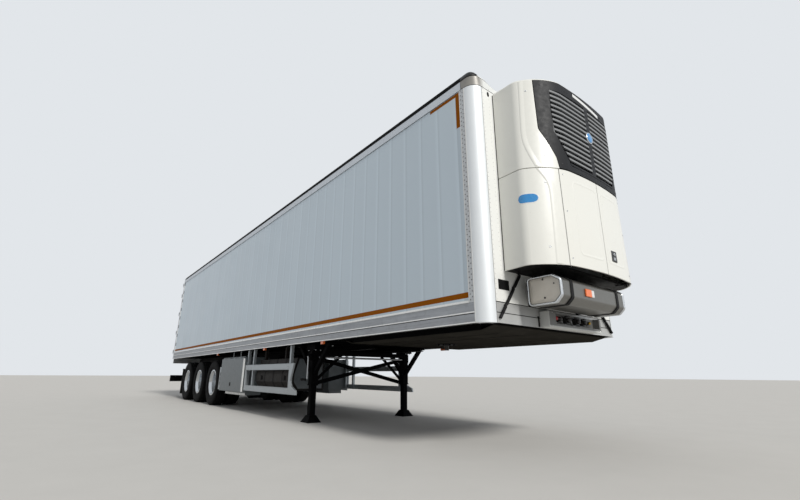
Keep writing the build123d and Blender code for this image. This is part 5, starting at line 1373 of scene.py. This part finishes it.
def chassis_details():
    lines = Shape()
    for z, y in ((1.142, -0.470), (1.124, -0.468)):
        lines.tube(curve([(x, y, z) for x in (3.60, 0.6, -2.2, -5.2)], 3), 0.0065, 6)
    for x in steps(-5.1, 3.5, 0.6):
        lines.block(x - 0.008, x + 0.008, -0.461, -0.484, 1.113, 1.152, 0.002)
    for x in map(at, AXLES):
        lines.tube(curve([(x + 0.24, -0.352, 0.712), (x + 0.24, -0.37, 0.86),
                          (x + 0.34, -0.44, 1.00), (x + 0.36, -0.466, 1.124)], 5), 0.0065, 6)
    lines.mirror_y().piece("air_lines", "black_rubber")
    bands = Shape()
    for x in (-0.80, -0.36):
        bands.lathe([(-0.016, 0.1235), (-0.016, 0.1262), (0.016, 0.1262), (0.016, 0.1235)],
                    (x, -0.190, 0.900), AHEAD, 32)
    bands.bolts([(-0.58, -0.190, 0.779)], DOWN, 0.012, 0.018)
    bands.mirror_y().piece("air_tank_bands", "zinc")
    plate = Shape().lathe([(-0.002, 0.150), (0.006, 0.150), (0.008, 0.146), (0.008, 0.060)],
                          (PIN_X, 0, 1.150), DOWN, 40)
    plate.bolts([(PIN_X + dx, dy, 1.142) for dx, dy in ring(8, 0.118, 0.5)], DOWN, 0.013, 0.008)
    plate.boxes([(2.70, 0.30, y - 0.004, y + 0.004, 1.1475, 1.1505)
                 for y in (-0.75, -0.40, 0.40, 0.75)], 0.0005)
    plate.piece("coupler_plate_flange", "chassis_black")
    roof = Shape()
    for back in steps(1.2, 13.0, 1.18):
        roof.boxes([(back + 0.030, back - 0.030, -1.175, 1.175, 3.9895, 3.9925)], 0.001)
        for dx, dy in ((-0.018, 0), (0.018, 0.08)):
            roof.domes([(at(back) + dx, y + dy, 3.9925) for y in steps(-1.12, 1.13, 0.16)], UP,
                       0.006, 0.002)
    roof.piece("roof_seams", "roof_panel")


def inside_details():
    kick = Shape().boxes([(TRIM_REAR, 0.10, -1.2045, -1.2075, 1.425, 1.72),
                          (TRIM_REAR, 0.10, 1.2045, 1.2075, 1.425, 1.72),
                          (0.0835, 0.080, -1.19, 1.19, 1.425, 1.72)], 0.001)
    kick.piece("kick_plates", "floor_aluminium")
    rails, slots = Shape(), Shape()
    for z in (2.15, 3.05):
        rails.boxes([(13.45, 0.60, -1.2035, -1.2075, z - 0.05, z + 0.05)], 0.001)
        slots.boxes([(back + 0.008, back - 0.008, -1.2030, -1.2050, z - 0.03, z + 0.03)
                     for back in steps(0.8, 13.3, 0.15)], 0.0003)
    rails.mirror_y().piece("cargo_rails", "floor_aluminium")
    slots.mirror_y().piece("cargo_rail_slots", "seam_dark")
    lamps = Shape()
    for back in (1.9, 4.3, 6.7, 9.1, 11.5, 13.2):
        lamps.lathe([(0, 0.090), (0.012, 0.088), (0.026, 0.070), (0.030, 0.0)],
                    (at(back), 0, 3.909), DOWN, 28)
    lamps.piece("ceiling_lamps", "clear_lens")
    cover = Shape().prism([(at(0.0795), 3.32), (at(0.0795), 3.88), (at(0.50), 3.88),
                           (at(0.50), 3.62), (at(0.36), 3.38)], "y", -0.82, 0.82)
    cover.piece("evaporator_cover", "unit_white")
    bars = Shape()
    for y in (-0.56, 0.0, 0.56):
        for z in (3.40 + 0.017 * k for k in range(14)):
            x = at(0.36 + 0.14 * (z - 3.38) / 0.24)
            bars.block(x - 0.010, x + 0.004, y - 0.22, y + 0.22, z - 0.003, z + 0.003, 0.0008)
        bars.lathe([(0, 0.144), (0.012, 0.1408), (0.018, 0.128), (0.014, 0.048), (0.014, 0)],
                   (at(0.50), y, 3.745), BACK, 28)
    bars.piece("evaporator_grilles", "unit_dark")


hose_sleeves()
for side, side_name in SIDES:
    door_details(side, side_name)
rear_details()
axle_details()
chassis_details()
inside_details()


# Stage and light

FLOOR_HALF, FLOOR_Z = 150.0, -0.0005


def make_stage():
    corners = [(sx * FLOOR_HALF, sy * FLOOR_HALF, FLOOR_Z)
               for sx, sy in ((-1, -1), (1, -1), (1, 1), (-1, 1))]
    mesh = bpy.data.meshes.new("floor_stage")
    mesh.from_pydata(corners, [], [(0, 1, 2, 3)])
    obj = bpy.data.objects.new("floor_stage", mesh)
    scene.collection.objects.link(obj)
    g = Graph("stage_floor")
    colour = g.mix(g.noise(2.0, 6.0, 0.6), tone(196, 194, 190), tone(204, 202, 198))
    g.wire(g.shader[0], {"Base Color": colour, "Roughness": 0.9, "Specular IOR Level": 0.1})
    mesh.materials.append(g.material)


def make_light():
    """Plain world light, seen as a pale background by camera, glossy and transmission rays."""
    world = bpy.data.worlds.new("studio")
    scene.world = world
    world.use_nodes = True
    tree = world.node_tree
    tree.nodes.clear()

    def background(color, strength):
        node = tree.nodes.new("ShaderNodeBackground")
        node.inputs["Color"].default_value = color
        node.inputs["Strength"].default_value = strength
        return node.outputs["Background"]

    path = tree.nodes.new("ShaderNodeLightPath")
    seen = path.outputs["Is Camera Ray"]
    for kind in ("Is Glossy Ray", "Is Transmission Ray"):
        total = tree.nodes.new("ShaderNodeMath")
        total.operation = "ADD"
        total.use_clamp = True
        tree.links.new(seen, total.inputs[0])
        tree.links.new(path.outputs[kind], total.inputs[1])
        seen = total.outputs["Value"]
    mix = tree.nodes.new("ShaderNodeMixShader")
    out = tree.nodes.new("ShaderNodeOutputWorld")
    for source, socket in ((seen, mix.inputs[0]),
                           (background((0.93, 0.96, 1.0, 1.0), 0.44), mix.inputs[1]),
                           (background(tone(226, 230, 234), 1.0), mix.inputs[2]),
                           (mix.outputs["Shader"], out.inputs["Surface"])):
        tree.links.new(source, socket)
    data = bpy.data.lights.new("key", "SUN")
    data.energy = 2.8
    data.angle = math.radians(14)
    data.color = (1.0, 0.98, 0.94)
    lamp = bpy.data.objects.new("key", data)
    scene.collection.objects.link(lamp)
    to_sun = Vector((0.85, -0.06, 0.60)).normalized()
    lamp.rotation_euler = to_sun.to_track_quat("Z", "Y").to_euler()


make_stage()
make_light()
